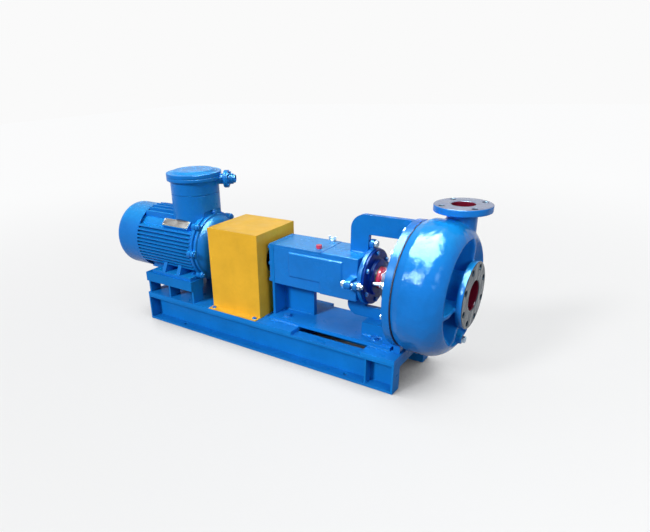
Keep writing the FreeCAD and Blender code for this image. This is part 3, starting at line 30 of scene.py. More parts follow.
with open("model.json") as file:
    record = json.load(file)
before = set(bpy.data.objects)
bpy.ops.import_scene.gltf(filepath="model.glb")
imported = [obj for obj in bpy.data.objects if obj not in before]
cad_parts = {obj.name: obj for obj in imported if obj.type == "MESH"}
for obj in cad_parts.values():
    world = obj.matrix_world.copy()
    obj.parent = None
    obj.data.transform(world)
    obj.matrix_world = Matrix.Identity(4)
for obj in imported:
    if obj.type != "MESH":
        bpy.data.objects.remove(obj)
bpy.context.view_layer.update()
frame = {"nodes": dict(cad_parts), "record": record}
NODES = frame["nodes"]
SHAFT_Z = 0.363

# Colours as linear values
BLUE = (0.006, 0.164, 0.56)
SKID_BLUE = (0.005, 0.165, 0.53)
# A darker copy of the blue for the arch, the lower arm and the bearing cartridge: painted shade
SHADE_BLUE = (0.005, 0.15, 0.5)
# A lighter copy of the skid blue for the deck and the pedestal's base: painted light against the shade they
# sit in
DECK_PAINTED_LIGHT_BLUE = (0.006, 0.185, 0.6)
# A lighter copy of the blue, painted on upward faces as light from the sky
SUNLIT_BLUE = (0.008, 0.27, 0.7)
# A near-navy copy of the casting blue for the front bearing cover: painted shade, as its face lies in shadow
COVER_PAINTED_SHADE_NAVY = (0.001, 0.03, 0.25)
# Near-black painted shade for the walls of the flange bolt holes
HOLE_PAINTED_SHADE = (0.006, 0.014, 0.035)
YELLOW = (0.74, 0.41, 0.03)
RED = (0.62, 0.03, 0.08)
CRIMSON = (0.125, 0.006, 0.02)
ZINC = (0.3, 0.4, 0.5)
STEEL = (0.5, 0.5, 0.5)
# One bare face grey in two copies: darkened on the suction face as painted shade, lightened and tinted on
# the discharge face as painted skylight
SUCTION_FACE_SHADED_GREY = (0.028, 0.048, 0.075)
DISCHARGE_FACE_SKYLIT_GREY = (0.2, 0.23, 0.34)
IRON = (0.05, 0.06, 0.09)
COPPER = (0.6, 0.24, 0.1)
BRASS = (0.6, 0.42, 0.14)
RUST = (0.12, 0.06, 0.03)
SKY_GLINT = (0.55, 0.9, 1.0)


# Materials

BEVEL_SAMPLES = 4


def set_inputs(node, values):
    for name, value in values.items():
        node.inputs[name].default_value = value


class Shader:
    """A node tree around a Principled shader."""

    def __init__(self, name):
        self.material = bpy.data.materials.new(name)
        self.material.use_nodes = True
        self.tree = self.material.node_tree
        self.surface = self.tree.nodes["Principled BSDF"]
        self.place = self.add("ShaderNodeTexCoord").outputs["Object"]

    def add(self, kind, **settings):
        """A new node; a setting named like one of its sockets goes to that socket."""
        node = self.tree.nodes.new(kind)
        for key, value in settings.items():
            if hasattr(node, key) and key not in node.inputs:
                setattr(node, key, value)
            else:
                node.inputs[key].default_value = value
        return node

    def link(self, source, target):
        self.tree.links.new(source, target)

    def noise(self, scale, detail=3.0, roughness=0.5, stretch=None):
        node = self.add("ShaderNodeTexNoise", Scale=scale, Detail=detail, Roughness=roughness)
        if stretch:
            mapping = self.add("ShaderNodeMapping")
            mapping.inputs["Scale"].default_value = stretch
            self.link(self.place, mapping.inputs["Vector"])
            self.link(mapping.outputs["Vector"], node.inputs["Vector"])
        else:
            self.link(self.place, node.inputs["Vector"])
        return node.outputs["Fac"]

    def spread(self, value, low, high, start=0.3, end=0.7):
        """Map a value that runs from start to end on to the range from low to high."""
        node = self.add("ShaderNodeMapRange")
        set_inputs(node, {"From Min": start, "From Max": end, "To Min": low, "To Max": high})
        self.link(value, node.inputs["Value"])
        return node.outputs["Result"]

    def mix(self, factor, first, second):
        node = self.add("ShaderNodeMix", data_type="RGBA")
        self.link(factor, node.inputs["Factor"])
        for socket, value in ((node.inputs[6], first), (node.inputs[7], second)):
            if isinstance(value, tuple):
                socket.default_value = value + (1.0,)
            else:
                self.link(value, socket)
        return node.outputs[2]

    def edge_mask(self, radius, low=0.02, high=0.12):
        """One near a sharp edge and nought on a flat face."""
        bevel = self.add("ShaderNodeBevel", samples=BEVEL_SAMPLES, Radius=radius)
        geometry = self.add("ShaderNodeNewGeometry")
        dot = self.add("ShaderNodeVectorMath", operation="DOT_PRODUCT")
        self.link(bevel.outputs["Normal"], dot.inputs[0])
        self.link(geometry.outputs["Normal"], dot.inputs[1])
        return self.spread(dot.outputs["Value"], 1.0, 0.0, 1 - high, 1 - low)

    def relief(self, layers, edge=0.0):
        """Stack bumps of (height, distance in metres, strength) on softened edges."""
        normal = None
        if edge:
            bevel = self.add("ShaderNodeBevel", samples=BEVEL_SAMPLES, Radius=edge)
            normal = bevel.outputs["Normal"]
        for height, distance, strength in layers:
            bump = self.add("ShaderNodeBump", Strength=strength, Distance=distance)
            self.link(height, bump.inputs["Height"])
            if normal:
                self.link(normal, bump.inputs["Normal"])
            normal = bump.outputs["Normal"]
        self.link(normal, self.surface.inputs["Normal"])

    def colour(self, output):
        self.link(output, self.surface.inputs["Base Color"])

    def rough(self, output):
        self.link(output, self.surface.inputs["Roughness"])


def scaled(colour, factor):
    return tuple(min(channel * factor, 1.0) for channel in colour)


# Upward part of a face's normal at which the painted skylight on upward faces starts and is full
STEEP_FACE, LEVEL_FACE = 0.4, 0.95


def upward(shader):
    """One where a face looks up to the sky, and nought on upright faces."""
    geometry = shader.add("ShaderNodeNewGeometry")
    separate = shader.add("ShaderNodeSeparateXYZ")
    shader.link(geometry.outputs["Normal"], separate.inputs[0])
    slope = shader.add("ShaderNodeMapRange", interpolation_type="SMOOTHSTEP")
    set_inputs(slope, {"From Min": STEEP_FACE, "From Max": LEVEL_FACE})
    shader.link(separate.outputs["Z"], slope.inputs["Value"])
    return slope.outputs["Result"]


def weathered_and_top_lit(shader, colour, grime, painted_top_light=None):
    """A paint colour with slow drift, painted light on upward faces, thin spots on the edges and dark grime.
    """
    drift = shader.spread(shader.noise(7.0, 4.0), 0.0, 1.0)
    base = shader.mix(drift, scaled(colour, 0.9), scaled(colour, 1.08))
    if painted_top_light:
        # Painted light: faces that look up turn to the lighter, sky-lit copy of the colour
        base = shader.mix(upward(shader), base, painted_top_light)
    thin = shader.edge_mask(0.0018)
    patchy = shader.spread(shader.noise(140.0, 5.0, 0.65), 0.0, 0.7, 0.54, 0.68)
    worn = shader.add("ShaderNodeMath", operation="MULTIPLY")
    shader.link(thin, worn.inputs[0])
    shader.link(patchy, worn.inputs[1])
    base = shader.mix(worn.outputs[0], base, scaled(colour, 1.35))
    dirty = shader.spread(shader.noise(22.0, 6.0, 0.7), 0.0, grime, 0.5, 0.75)
    return shader.mix(dirty, base, scaled(colour, 0.62))


# Radius of the shading on the edges of paint, and on those of metal, rubber and plastic
PAINT_EDGE = 0.0014
METAL_EDGE = 0.0006


def enamel_finish(shader, gloss, cast, wave, specular, sag=0.0):
    """Orange peel, the skin of a casting, slow waves and sags of thick paint, under a thin gloss."""
    shader.rough(shader.spread(shader.noise(18.0, 4.0), gloss * 0.8, gloss * 1.4))
    shader.surface.inputs["Specular IOR Level"].default_value = specular
    shader.surface.inputs["Specular Tint"].default_value = SKY_GLINT + (1.0,)
    layers = [(shader.noise(420.0, 2.0), 0.0004, 0.12)]
    if cast:
        layers.append((shader.noise(75.0, 4.0, 0.6), 0.0012, cast))
    if wave:
        layers.append((shader.noise(19.0, 4.0, 0.6), 0.012, wave))
    if sag:
        layers.append((shader.noise(22.0, 2.0, 0.5, (1.0, 1.0, 0.5)), 0.012, sag))
    shader.relief(layers, PAINT_EDGE)


def paint(name, colour, gloss, cast=0.0, wave=0.0, grime=0.25, specular=0.12, painted_top_light=None):
    """Sprayed enamel on plate or casting."""
    shader = Shader(name)
    shader.colour(weathered_and_top_lit(shader, colour, grime, painted_top_light))
    enamel_finish(shader, gloss, cast, wave, specular)
    return shader.material


def metal(name, colour, roughness, grain=(1, 1, 1), *, marks, depth, stain=0.0):
    """Bare metal with marks of its making, stretched by the grain, and slight staining."""
    shader = Shader(name)
    height = shader.noise(marks, 4.0, 0.6, grain)
    cloud = shader.noise(35.0, 5.0, 0.6)
    tint = shader.mix(shader.spread(cloud, 0.0, 1.0), scaled(colour, 0.75), scaled(colour, 1.15))
    if stain:
        spots = shader.spread(shader.noise(90.0, 6.0, 0.7), 0.0, stain, 0.52, 0.7)
        tint = shader.mix(spots, tint, RUST)
    shader.colour(tint)
    shader.rough(shader.spread(cloud, roughness * 0.75, roughness * 1.3))
    shader.surface.inputs["Metallic"].default_value = 1.0
    shader.relief([(height, 0.0003, depth)], METAL_EDGE)
    return shader.material


def plain(name, colour, roughness, bump_scale, bump_depth, sheen=0.0):
    """Rubber, plastic, braid and gasket board."""
    shader = Shader(name)
    cloud = shader.noise(40.0, 5.0, 0.6)
    shader.colour(shader.mix(shader.spread(cloud, 0.0, 1.0), scaled(colour, 0.8), scaled(colour, 1.25)))
    shader.rough(shader.spread(cloud, roughness * 0.85, min(roughness * 1.2, 1.0)))
    shader.surface.inputs["Sheen Weight"].default_value = sheen
    shader.relief([(shader.noise(bump_scale, 3.0), bump_depth, 0.35)], METAL_EDGE)
    return shader.material


def near_axis(shader, centre, axis, radius, start, end):
    """One within a radius of a line along an axis and between two places on it."""
    offset = shader.add("ShaderNodeVectorMath", operation="SUBTRACT")
    shader.link(shader.place, offset.inputs[0])
    offset.inputs[1].default_value = centre
    flat = shader.add("ShaderNodeVectorMath", operation="MULTIPLY")
    shader.link(offset.outputs[0], flat.inputs[0])
    flat.inputs[1].default_value = tuple(0.0 if index == axis else 1.0 for index in range(3))
    length = shader.add("ShaderNodeVectorMath", operation="LENGTH")
    shader.link(flat.outputs[0], length.inputs[0])
    separate = shader.add("ShaderNodeSeparateXYZ")
    shader.link(shader.place, separate.inputs[0])
    total = None
    for value, kind, limit in ((length.outputs["Value"], "LESS_THAN", radius),
                               (separate.outputs[axis], "GREATER_THAN", start),
                               (separate.outputs[axis], "LESS_THAN", end)):
        test = shader.add("ShaderNodeMath", operation=kind)
        shader.link(value, test.inputs[0])
        test.inputs[1].default_value = limit
        if total:
            both = shader.add("ShaderNodeMath", operation="MULTIPLY")
            shader.link(total, both.inputs[0])
            shader.link(test.outputs[0], both.inputs[1])
            total = both.outputs[0]
        else:
            total = test.outputs[0]
    return total


def casing_paint(name):
    """Casting enamel, machined flange faces, painted shade in the bolt holes and red primer in the bores."""
    shader = Shader(name)
    base = weathered_and_top_lit(shader, BLUE, 0.2, SUNLIT_BLUE)
    cloud = shader.noise(60.0, 5.0, 0.6)
    primer = shader.mix(cloud, scaled(CRIMSON, 0.7), scaled(CRIMSON, 1.4))
    for centre, axis, face_at, face_radius, bore_radius, bore_start, grey in FLANGES:
        face = shader.mix(cloud, scaled(grey, 0.75), scaled(grey, 1.25))
        below = face_at - FACE_SKIN
        in_holes = near_axis(shader, centre, axis, face_radius - RIM_MARGIN, face_at - HOLE_DEPTH, below)
        on_face = near_axis(shader, centre, axis, face_radius, below, face_at + 0.01)
        in_bore = near_axis(shader, centre, axis, bore_radius, bore_start, below)
        base = shader.mix(on_face, base, face)
        # Painted shade on the walls of the bolt holes
        base = shader.mix(in_holes, base, HOLE_PAINTED_SHADE)
        base = shader.mix(in_bore, base, primer)
    shader.colour(base)
    enamel_finish(shader, 0.12, 0.15, 0.25, 0.16, 0.35)
    return shader.material


# For each flange a point of its axis, the axis, the place of the face on it, a radius that holds the
# face, one that holds the bore, where the bore's primer starts and the colour of the bare face: one
# bare grey, made darker on the suction face as painted shade and lighter on the discharge face as painted
# skylight
FLANGES = (((0.0, 0.0, SHAFT_Z), 0, 0.812, 0.12, 0.0535, 0.6, SUCTION_FACE_SHADED_GREY),
           ((0.719, 0.086, 0.0), 2, 0.639, 0.1, 0.0415, 0.45, DISCHARGE_FACE_SKYLIT_GREY))
# Depth of the bare skin on a face, how far inside the face's radius the bolt holes end, and how deep
# their walls get painted shade
FACE_SKIN = 0.0015
RIM_MARGIN = 0.009
HOLE_DEPTH = 0.016

# Stretch of the marks that turning leaves on a piece along X
TURNED = (400, 4, 4)

MATERIALS = {
    "skid": paint("skid_enamel", SKID_BLUE, 0.32, 0.12, 0.1, specular=0.07),
    # Painted light: the deck and the pedestal's base get a lighter copy of the skid paint
    "deck": paint("deck_enamel_painted_light", DECK_PAINTED_LIGHT_BLUE, 0.32, 0.12, 0.1, specular=0.07),
    # Painted shade: the arch and the lower arm get the darker copy of the blue
    "plates": paint("plate_enamel", SHADE_BLUE, 0.28, 0.1, 0.1, specular=0.1),
    "casting": paint("casting_enamel", BLUE, 0.22, 0.35, 0.15, specular=0.22, painted_top_light=SUNLIT_BLUE),
    "ring": paint("ring_enamel", BLUE, 0.22, 0.1, 0.1, specular=0.16),
    "motor": paint("motor_enamel", BLUE, 0.28, 0.2, 0.1, specular=0.14, painted_top_light=SUNLIT_BLUE),
    "guard": paint("guard_enamel", YELLOW, 0.36, 0.05, 0.15, grime=0.2, specular=0.1),
    # Painted shade: the front bearing cover gets a near-navy copy of the casting paint
    "cover": paint("cover_enamel_painted_shade", COVER_PAINTED_SHADE_NAVY, 0.2, 0.3, 0.1, grime=0.08, specular=0.06),
    # Painted shade: the bearing cartridge gets the darker copy of the blue
    "cartridge": paint("cartridge_enamel", SHADE_BLUE, 0.24, 0.3, 0.1, specular=0.2),
    "bolts": paint("bolt_enamel", BLUE, 0.3, specular=0.25),
    "casing": casing_paint("casing_enamel"),
    "zinc": metal("zinc_plate", ZINC, 0.42, marks=500.0, depth=0.15, stain=0.15),
    "steel": metal("ground_steel", STEEL, 0.22, TURNED, marks=1.0, depth=0.15),
    "balls": metal("polished_steel", (0.7, 0.7, 0.72), 0.08, marks=300.0, depth=0.02),
    "iron": metal("bare_casting", IRON, 0.5, marks=180.0, depth=0.6, stain=0.2),
    "core": metal("core_laminations", (0.25, 0.25, 0.27), 0.4, (900, 1, 1), marks=1.0, depth=0.6),
    "copper": metal("varnished_copper", COPPER, 0.3, marks=260.0, depth=0.5),
    "alloy": metal("cast_alloy", (0.5, 0.51, 0.53), 0.42, marks=220.0, depth=0.4),
    "brass": metal("turned_brass", BRASS, 0.25, TURNED, marks=1.0, depth=0.15),
    "rubber": plain("black_rubber", (0.02, 0.02, 0.02), 0.7, 300.0, 0.0004),
    "gasket": plain("gasket_board", (0.006, 0.012, 0.04), 0.8, 500.0, 0.0003),
    "packing": plain("graphite_braid", (0.05, 0.05, 0.048), 0.6, 160.0, 0.0012, 0.2),
    "red": plain("red_moulding", RED, 0.2, 260.0, 0.0002),
    "plate": metal("worn_plate", (0.13, 0.12, 0.115), 0.55, (60, 2, 2), marks=6.0, depth=0.3, stain=0.5),
    "rim": metal("plate_rim", (0.26, 0.25, 0.22), 0.45, marks=200.0, depth=0.3, stain=0.3),
}

SLOT_LOOKS = {
    "skid_paint": "skid", "casting_paint": "casting", "motor_paint": "motor", "guard_paint": "guard",
    "zinc_steel": "zinc", "shaft_steel": "steel", "ball_steel": "balls", "bare_iron": "iron",
    "core_steel": "core", "winding_copper": "copper", "fan_alloy": "alloy", "seal_rubber": "rubber",
    "gasket_fibre": "gasket", "packing_braid": "packing", "lantern_brass": "brass", "red_plastic": "red",
    "plate_metal": "plate",
}
NODE_LOOKS = {
    "casing": "casing", "casing_ring": "ring", "front_bearing_cover": "cover", "gland_follower": "iron",
    "bearing_cartridge": "cartridge", "arch_plate": "plates", "lower_arm": "plates",
    "deck_plates": "deck", "pedestal_base": "deck",
    "frame_bolts": "bolts", "end_bell_bolts": "bolts", "front_cover_bolts": "bolts",
}
SLOT_OF = {row["node"]: row["material_slot"] for row in frame["record"]["subparts"]}
SMOOTH_ANGLE = math.radians(32)


def dress(item, look):
    """Give a piece its material, and smooth shading up to an angle between faces."""
    mesh = item.data
    mesh.materials.clear()
    mesh.materials.append(MATERIALS[look])
    mesh.polygons.foreach_set("use_smooth", [True] * len(mesh.polygons))
    mesh.set_sharp_from_angle(angle=SMOOTH_ANGLE)


for node, item in NODES.items():
    dress(item, NODE_LOOKS.get(node) or SLOT_LOOKS[SLOT_OF[node]])

MERGE_WITHIN = 0.00001


def soften(node, voxel, rounds):
    """Round the edges and inner corners of a casting as its mould leaves them."""
    item = NODES[node]
    weld = item.modifiers.new("weld", "WELD")
    weld.merge_threshold = MERGE_WITHIN
    remesh = item.modifiers.new("skin", "REMESH")
    remesh.mode = "VOXEL"
    remesh.voxel_size = voxel
    remesh.use_smooth_shade = True
    smooth = item.modifiers.new("round", "SMOOTH")
    smooth.factor = 0.5
    smooth.iterations = rounds


# Size of the remesh and rounds of smoothing for each casting
SOFT_CASTINGS = {"casing": (0.0026, 5), "bearing_box": (0.0024, 3), "bearing_cartridge": (0.002, 2),
                 "front_bearing_cover": (0.0018, 2), "end_bell_front": (0.0024, 4),
                 "terminal_box": (0.0022, 3), "terminal_lid": (0.0022, 3), "cable_gland": (0.0016, 2)}
for node, (voxel, rounds) in SOFT_CASTINGS.items():
    soften(node, voxel, rounds)


# Welds, washers and rivets

def place_in_scene(name, data):
    item = bpy.data.objects.new(name, data)
    bpy.context.scene.collection.objects.link(item)
    return item


def finished(name, building, look, body):
    """Put a new piece in the scene, dressed and riding on its body."""
    mesh = bpy.data.meshes.new(name)
    bmesh.ops.recalc_face_normals(building, faces=building.faces)
    building.to_mesh(mesh)
    building.free()
    item = place_in_scene(name, mesh)
    dress(item, look)
    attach(item, body)


def band(building, first, second):
    """Join two closed rows of points, point by point."""
    for corner in range(len(first)):
        following = (corner + 1) % len(first)
        building.faces.new((first[corner], first[following], second[following], second[corner]))


def bead(building, start, end, radius, first_side, second_side):
    """A rippled fillet of weld metal between two faces that meet along a line."""
    start, end = Vector(start), Vector(end)
    span = (end - start).length
    steps = max(int(span / WELD_RIPPLE) * 3, 6)
    sides = (Vector(first_side), Vector(second_side))
    rings = []
    for step in range(steps + 1):
        share = step / steps
        swell = 1.0 + RIPPLE_DEPTH * math.sin(share * span / WELD_RIPPLE * 2 * math.pi)
        swell *= min(1.0, 0.35 + 8 * min(share, 1 - share))  # thinner towards both ends
        middle = start.lerp(end, share)
        ring = [building.verts.new(middle)]
        for corner in range(WELD_CORNERS + 1):
            angle = corner / WELD_CORNERS * math.pi / 2
            out = sides[0] * math.cos(angle) + sides[1] * math.sin(angle)
            flat = 0.82 + 0.18 * abs(math.cos(2 * angle))  # a face a little flatter than an arc
            ring.append(building.verts.new(middle + out * radius * swell * flat))
        rings.append(ring)
    for first, second in zip(rings, rings[1:]):
        band(building, first, second)
    building.faces.new(list(reversed(rings[0])))
    building.faces.new(rings[-1])


WELD_RIPPLE = 0.006
RIPPLE_DEPTH = 0.13
WELD_CORNERS = 4
WELD_RADIUS = 0.006

# Heights of the deck and of the pedestal's base, back of the casing ring, half the arch's thickness
DECK_TOP = 0.135
PEDESTAL_TOP = 0.15
RING_BACK = 0.59
PLATE_HALF = 0.01
# Depth of the arch's beam and width of its leg, the arm's round end, and room left at a seam's end
ARCH_BEAM = 0.068
ARCH_LEG = 0.07
ARM_ROUND = 0.05
SEAM_ROOM = 0.002
# Ends along X of the web, of the front foot and of the open deck under the base, the outer faces of
# the end plate and of the base, and half their widths and the foot's
WEB_SPAN = (0.06, 0.198)
FOOT_SPAN = (0.442, 0.573)
DECK_GAP = (0.186, 0.494)
END_PLATE, END_PLATE_HALF = 0.047, 0.078
BASE_END, BASE_END_HALF = 0.615, 0.103
FOOT_HALF = 0.06

UP = (0, 0, 1)
NEAR, FAR, LEFT, FORTH = (0, -1, 0), (0, 1, 0), (-1, 0, 0), (1, 0, 0)


def make_welds():
    """Fillets where the plates of the skid and the pedestal meet each other and the casing ring."""
    arm_low, arm_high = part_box("lower_arm")
    arch_low, arch_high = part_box("arch_plate")
    base_low, base_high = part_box("pedestal_base")
    box_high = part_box("bearing_box")[1]
    arch_left, arch_top = arch_low[0], arch_high[2]
    seams = []
    for side, y in ((NEAR, -PLATE_HALF), (FAR, PLATE_HALF)):
        seams += [((RING_BACK, y, arm_low[2]), (RING_BACK, y, arm_high[2] - ARM_ROUND), 1.0, LEFT, side),
                  ((RING_BACK, y, arch_top - ARCH_BEAM), (RING_BACK, y, arch_top - 2 * SEAM_ROOM),
                   1.0, LEFT, side),
                  ((arch_left + SEAM_ROOM, y, box_high[2]), (arch_left + ARCH_LEG, y, box_high[2]),
                   1.0, UP, side),
                  ((WEB_SPAN[0], y, PEDESTAL_TOP), (WEB_SPAN[1], y, PEDESTAL_TOP), 1.0, UP, side)]
    for side, y, foot in ((NEAR, base_low[1], -FOOT_HALF), (FAR, base_high[1], FOOT_HALF)):
        seams += [((base_low[0], y, DECK_TOP), (DECK_GAP[0], y, DECK_TOP), 1.0, UP, side),
                  ((DECK_GAP[1], y, DECK_TOP), (base_high[0], y, DECK_TOP), 1.0, UP, side),
                  ((FOOT_SPAN[0], foot, PEDESTAL_TOP), (FOOT_SPAN[1], foot, PEDESTAL_TOP), 1.0, UP, side)]
    for x, half, z, share, side in ((END_PLATE, END_PLATE_HALF, PEDESTAL_TOP, 0.8, LEFT),
                                    (BASE_END, BASE_END_HALF, DECK_TOP, 0.9, FORTH)):
        seams.append(((x, -half, z), (x, half, z), share, UP, side))
    building = bmesh.new()
    for start, end, share, first_side, second_side in seams:
        bead(building, start, end, WELD_RADIUS * share, first_side, second_side)
    finished("weld_beads", building, "skid", "frame")


def lathe(building, place, axis, profile, sides=24):
    """Turn a closed (radius, height) outline about an axis through a place."""
    axis = Vector(axis).normalized()
    across = axis.orthogonal().normalized()
    third = axis.cross(across)
    place = Vector(place)
    rows = []
    for index in range(sides):
        angle = index / sides * 2 * math.pi
        out = across * math.cos(angle) + third * math.sin(angle)
        rows.append([building.verts.new(place + out * radius + axis * height) for radius, height in profile])
    for first, second in zip(rows, rows[1:] + rows[:1]):
        band(building, first, second)


def washer(building, place, axis, inner, outer, thick):
    """A flat ring with eased edges."""
    ease = thick * 0.35
    lathe(building, place, axis, [(inner, 0.0), (outer, 0.0), (outer, thick - ease), (outer - ease, thick),
                                  (inner + ease, thick), (inner, thick - ease)])


WASHER_THICK = 0.0025
FOOT_BOLTS = [(x, y, 0.249) for x in (-0.56, -0.376) for y in (-0.1, 0.1)]
PEDESTAL_BOLTS = [(x, y, PEDESTAL_TOP) for x in (0.112, 0.5) for y in (-0.075, 0.075)]
GUARD_BOLTS = [(x, y, 0.138) for x in (-0.225, -0.005) for y in (-0.145, 0.145)]


def make_washers():
    """Washers round the bolt heads that hold down motor, pedestal and guard."""
    building = bmesh.new()
    for places, inner, outer in ((FOOT_BOLTS, 0.0095, 0.0135), (PEDESTAL_BOLTS, 0.0125, 0.018),
                                 (GUARD_BOLTS, 0.0063, 0.0095)):
        for place in places:
            washer(building, place, UP, inner, outer, WASHER_THICK)
    finished("bolt_washers", building, "bolts", "frame")


# The motor's bare plate: distance of its face from the shaft, its ends and half its width
PLATE_RADIUS = 0.156
PLATE_LEFT, PLATE_RIGHT = -0.52, -0.37
PLATE_HALF_WIDE = 0.017
RIM_WIDE, RIM_HIGH = 0.0016, 0.0009
RIVET_INSET = 0.005
# Outline of a rivet's head as (radius, height)
RIVET = [(0.0002, 0.0), (0.0026, 0.0), (0.0023, 0.0008), (0.0015, 0.0014), (0.0002, 0.0017)]
PLATE_NORMAL = Vector((0.0, -math.sqrt(0.5), math.sqrt(0.5)))
PLATE_SIDE = Vector((0.0, math.sqrt(0.5), math.sqrt(0.5)))


def on_plate(x, across):
    """A point on the face of the motor's bare plate."""
    return Vector((x, 0.0, SHAFT_Z)) + PLATE_NORMAL * PLATE_RADIUS + PLATE_SIDE * across


def make_plate_trim():
    """A raised rim and four rivets on the bare plate of the motor."""
    building = bmesh.new()
    for x in (PLATE_LEFT + RIVET_INSET, PLATE_RIGHT - RIVET_INSET):
        for across in (RIVET_INSET - PLATE_HALF_WIDE, PLATE_HALF_WIDE - RIVET_INSET):
            lathe(building, on_plate(x, across), PLATE_NORMAL, RIVET, 16)
    rims = []
    for shrink, lift in ((0.0, 0.0), (0.0, RIM_HIGH), (RIM_WIDE, RIM_HIGH), (RIM_WIDE, 0.0)):
        low, high = PLATE_LEFT + shrink, PLATE_RIGHT - shrink
        half = PLATE_HALF_WIDE - shrink
        rims.append([building.verts.new(on_plate(x, across) + PLATE_NORMAL * lift)
                     for x, across in ((low, -half), (high, -half), (high, half), (low, half))])
    for first, second in zip(rims, rims[1:] + rims[:1]):
        band(building, first, second)
    finished("plate_trim", building, "rim", "frame")


make_welds()
make_washers()
make_plate_trim()


# Camera, fitted to the flanges, the casing ring and the skid of the view

CAMERA_AT = Vector((1.2743, -1.7033, 1.0638))
YAW = math.radians(37.907)
PITCH = math.radians(24.867)
ROLL = -0.045
FOCAL_PIXELS = 539.46
CENTRE_PIXEL = (267.03, 319.76)
IMAGE_SIZE = (650, 532)

forward = Vector((-math.sin(YAW) * math.cos(PITCH), math.cos(YAW) * math.cos(PITCH), -math.sin(PITCH)))
level_right = Vector((math.cos(YAW), math.sin(YAW), 0.0))
level_up = level_right.cross(forward)
right = level_right * math.cos(ROLL) + level_up * math.sin(ROLL)
up = level_up * math.cos(ROLL) - level_right * math.sin(ROLL)
camera_data = bpy.data.cameras.new("camera")
camera = place_in_scene("camera", camera_data)
camera.matrix_world = Matrix((
    (right.x, up.x, -forward.x, CAMERA_AT.x),
    (right.y, up.y, -forward.y, CAMERA_AT.y),
    (right.z, up.z, -forward.z, CAMERA_AT.z),
    (0.0, 0.0, 0.0, 1.0)))
camera_data.sensor_width = 36.0
camera_data.lens = FOCAL_PIXELS * camera_data.sensor_width / IMAGE_SIZE[0]
camera_data.shift_x = (IMAGE_SIZE[0] / 2 - CENTRE_PIXEL[0]) / IMAGE_SIZE[0]
camera_data.shift_y = (CENTRE_PIXEL[1] - IMAGE_SIZE[1] / 2) / IMAGE_SIZE[0]
bpy.context.scene.camera = camera


# Floor, world and lamps

def lamp(name, at, target, size, power, colour=(1.0, 1.0, 1.0)):
    """A rectangular lamp at a place, turned to a target."""
    data = bpy.data.lights.new(name, "AREA")
    data.shape = "RECTANGLE"
    data.size, data.size_y = size
    data.energy = power
    data.color = colour
    item = place_in_scene(name, data)
    item.location = at
    item.rotation_euler = (Vector(target) - Vector(at)).to_track_quat("-Z", "Y").to_euler()
    return item


def seen_directly(tree):
    """One for camera, glossy and transmission rays, and nought for the light that falls on things."""
    path = tree.nodes.new("ShaderNodeLightPath")
    total = path.outputs["Is Camera Ray"]
    for name in ("Is Glossy Ray", "Is Transmission Ray"):
        larger = tree.nodes.new("ShaderNodeMath")
        larger.operation = "MAXIMUM"
        tree.links.new(total, larger.inputs[0])
        tree.links.new(path.outputs[name], larger.inputs[1])
        total = larger.outputs[0]
    return total


SOFT_LIGHT = 0.34
BACKDROP = 0.956


def make_world():
    """Soft light on the object, before a backdrop that rays from the camera and in mirrors see."""
    world = bpy.data.worlds.new("studio")
    bpy.context.scene.world = world
    world.use_nodes = True
    tree = world.node_tree
    output = tree.nodes["World Output"]
    soft = tree.nodes["Background"]
    set_inputs(soft, {"Color": (0.9, 0.95, 1.0, 1.0), "Strength": SOFT_LIGHT})
    shown = tree.nodes.new("ShaderNodeBackground")
    set_inputs(shown, {"Color": (BACKDROP, BACKDROP, BACKDROP, 1.0), "Strength": 1.0})
    mix = tree.nodes.new("ShaderNodeMixShader")
    tree.links.new(seen_directly(tree), mix.inputs["Fac"])
    tree.links.new(soft.outputs[0], mix.inputs[1])
    tree.links.new(shown.outputs[0], mix.inputs[2])
    tree.links.new(mix.outputs[0], output.inputs["Surface"])


# The floor's half width, its depth under the skid, its own brightness near the object and far off,
# the distances between which that changes, and how open to the air it is where the painted shade starts
FLOOR_REACH = 14.0
FLOOR_DROP = 0.0005
FLOOR_GLOW = (0.69, 0.81)
GLOW_FROM, GLOW_TO = 0.3, 4.5
SHADE_REACH = 0.3
SHADE_FULL, SHADE_NONE = 0.26, 0.62


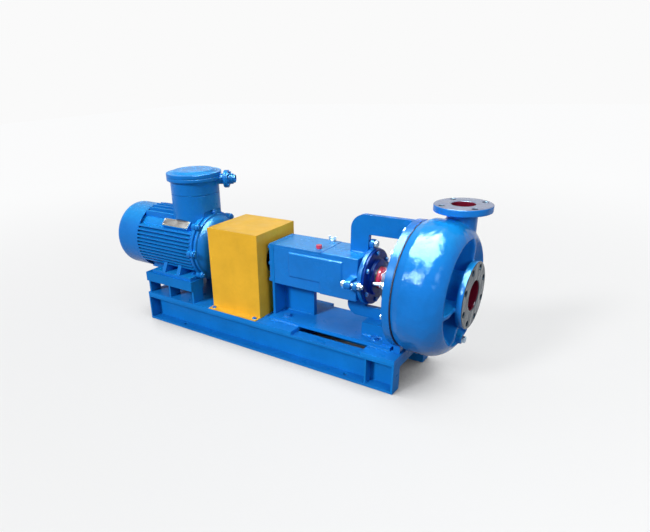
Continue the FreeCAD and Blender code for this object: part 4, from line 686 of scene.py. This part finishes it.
def make_floor():
    """A pale floor that keeps the object's shadow, with painted shade where the skid shuts out the light."""
    mesh = bpy.data.meshes.new("floor")
    reach = FLOOR_REACH
    corners = ((-reach, -reach), (reach, -reach), (reach, reach), (-reach, reach))
    mesh.from_pydata([(x, y, -FLOOR_DROP) for x, y in corners], [], [(0, 1, 2, 3)])
    item = place_in_scene("floor", mesh)
    material = bpy.data.materials.new("pale_floor")
    material.use_nodes = True
    tree = material.node_tree
    tree.nodes.remove(tree.nodes["Principled BSDF"])
    output = tree.nodes["Material Output"]
    lit = tree.nodes.new("ShaderNodeBsdfDiffuse")
    lit.inputs["Color"].default_value = (0.2, 0.2, 0.2, 1.0)
    # Painted shade: the floor's own glow is dimmed where ambient occlusion finds the object close above
    open_air = tree.nodes.new("ShaderNodeAmbientOcclusion")
    open_air.samples = 6
    open_air.inputs["Distance"].default_value = SHADE_REACH
    closed = tree.nodes.new("ShaderNodeMapRange")
    set_inputs(closed, {"From Min": SHADE_FULL, "From Max": SHADE_NONE, "To Max": 1.0})
    place = tree.nodes.new("ShaderNodeTexCoord")
    away = tree.nodes.new("ShaderNodeVectorMath")
    away.operation = "LENGTH"
    even = tree.nodes.new("ShaderNodeMapRange")
    even.interpolation_type = "SMOOTHSTEP"
    set_inputs(even, {"From Min": GLOW_FROM, "From Max": GLOW_TO,
                      "To Min": FLOOR_GLOW[0], "To Max": FLOOR_GLOW[1]})
    strength = tree.nodes.new("ShaderNodeMath")
    strength.operation = "MULTIPLY"
    glow = tree.nodes.new("ShaderNodeEmission")
    both = tree.nodes.new("ShaderNodeAddShader")
    mix = tree.nodes.new("ShaderNodeMixShader")
    tree.links.new(open_air.outputs["AO"], closed.inputs["Value"])
    tree.links.new(place.outputs["Object"], away.inputs[0])
    tree.links.new(away.outputs["Value"], even.inputs["Value"])
    tree.links.new(closed.outputs["Result"], strength.inputs[0])
    tree.links.new(even.outputs["Result"], strength.inputs[1])
    tree.links.new(strength.outputs[0], glow.inputs["Strength"])
    tree.links.new(lit.outputs[0], both.inputs[0])
    tree.links.new(glow.outputs[0], both.inputs[1])
    tree.links.new(seen_directly(tree), mix.inputs["Fac"])
    tree.links.new(lit.outputs[0], mix.inputs[1])
    tree.links.new(both.outputs[0], mix.inputs[2])
    tree.links.new(mix.outputs[0], output.inputs["Surface"])
    mesh.materials.append(material)


def sun(name, towards, strength, spread):
    """Even light from far away; towards points from the object to the light."""
    data = bpy.data.lights.new(name, "SUN")
    data.energy = strength
    data.angle = math.radians(spread)
    item = place_in_scene(name, data)
    item.rotation_euler = (-Vector(towards)).to_track_quat("-Z", "Y").to_euler()


make_world()
make_floor()
sun("key", (-0.35, -1.0, 0.66), 2.75, 12.0)
lamp("skylight", (0.3, -0.1, 2.2), (0.3, 0.0, 0.4), (1.4, 0.5), 9.0, (0.85, 0.95, 1.0))
glint = lamp("glint", (0.45, -0.3, 2.05), (0.72, 0.0, 0.5), (1.7, 1.4), 640.0, (0.85, 0.97, 1.0))
glint.visible_diffuse = False
lamp("side", (2.4, -1.2, 1.5), (0.5, 0.0, 0.4), (0.8, 0.8), 18.0)
bpy.context.scene.view_settings.view_transform = "Standard"
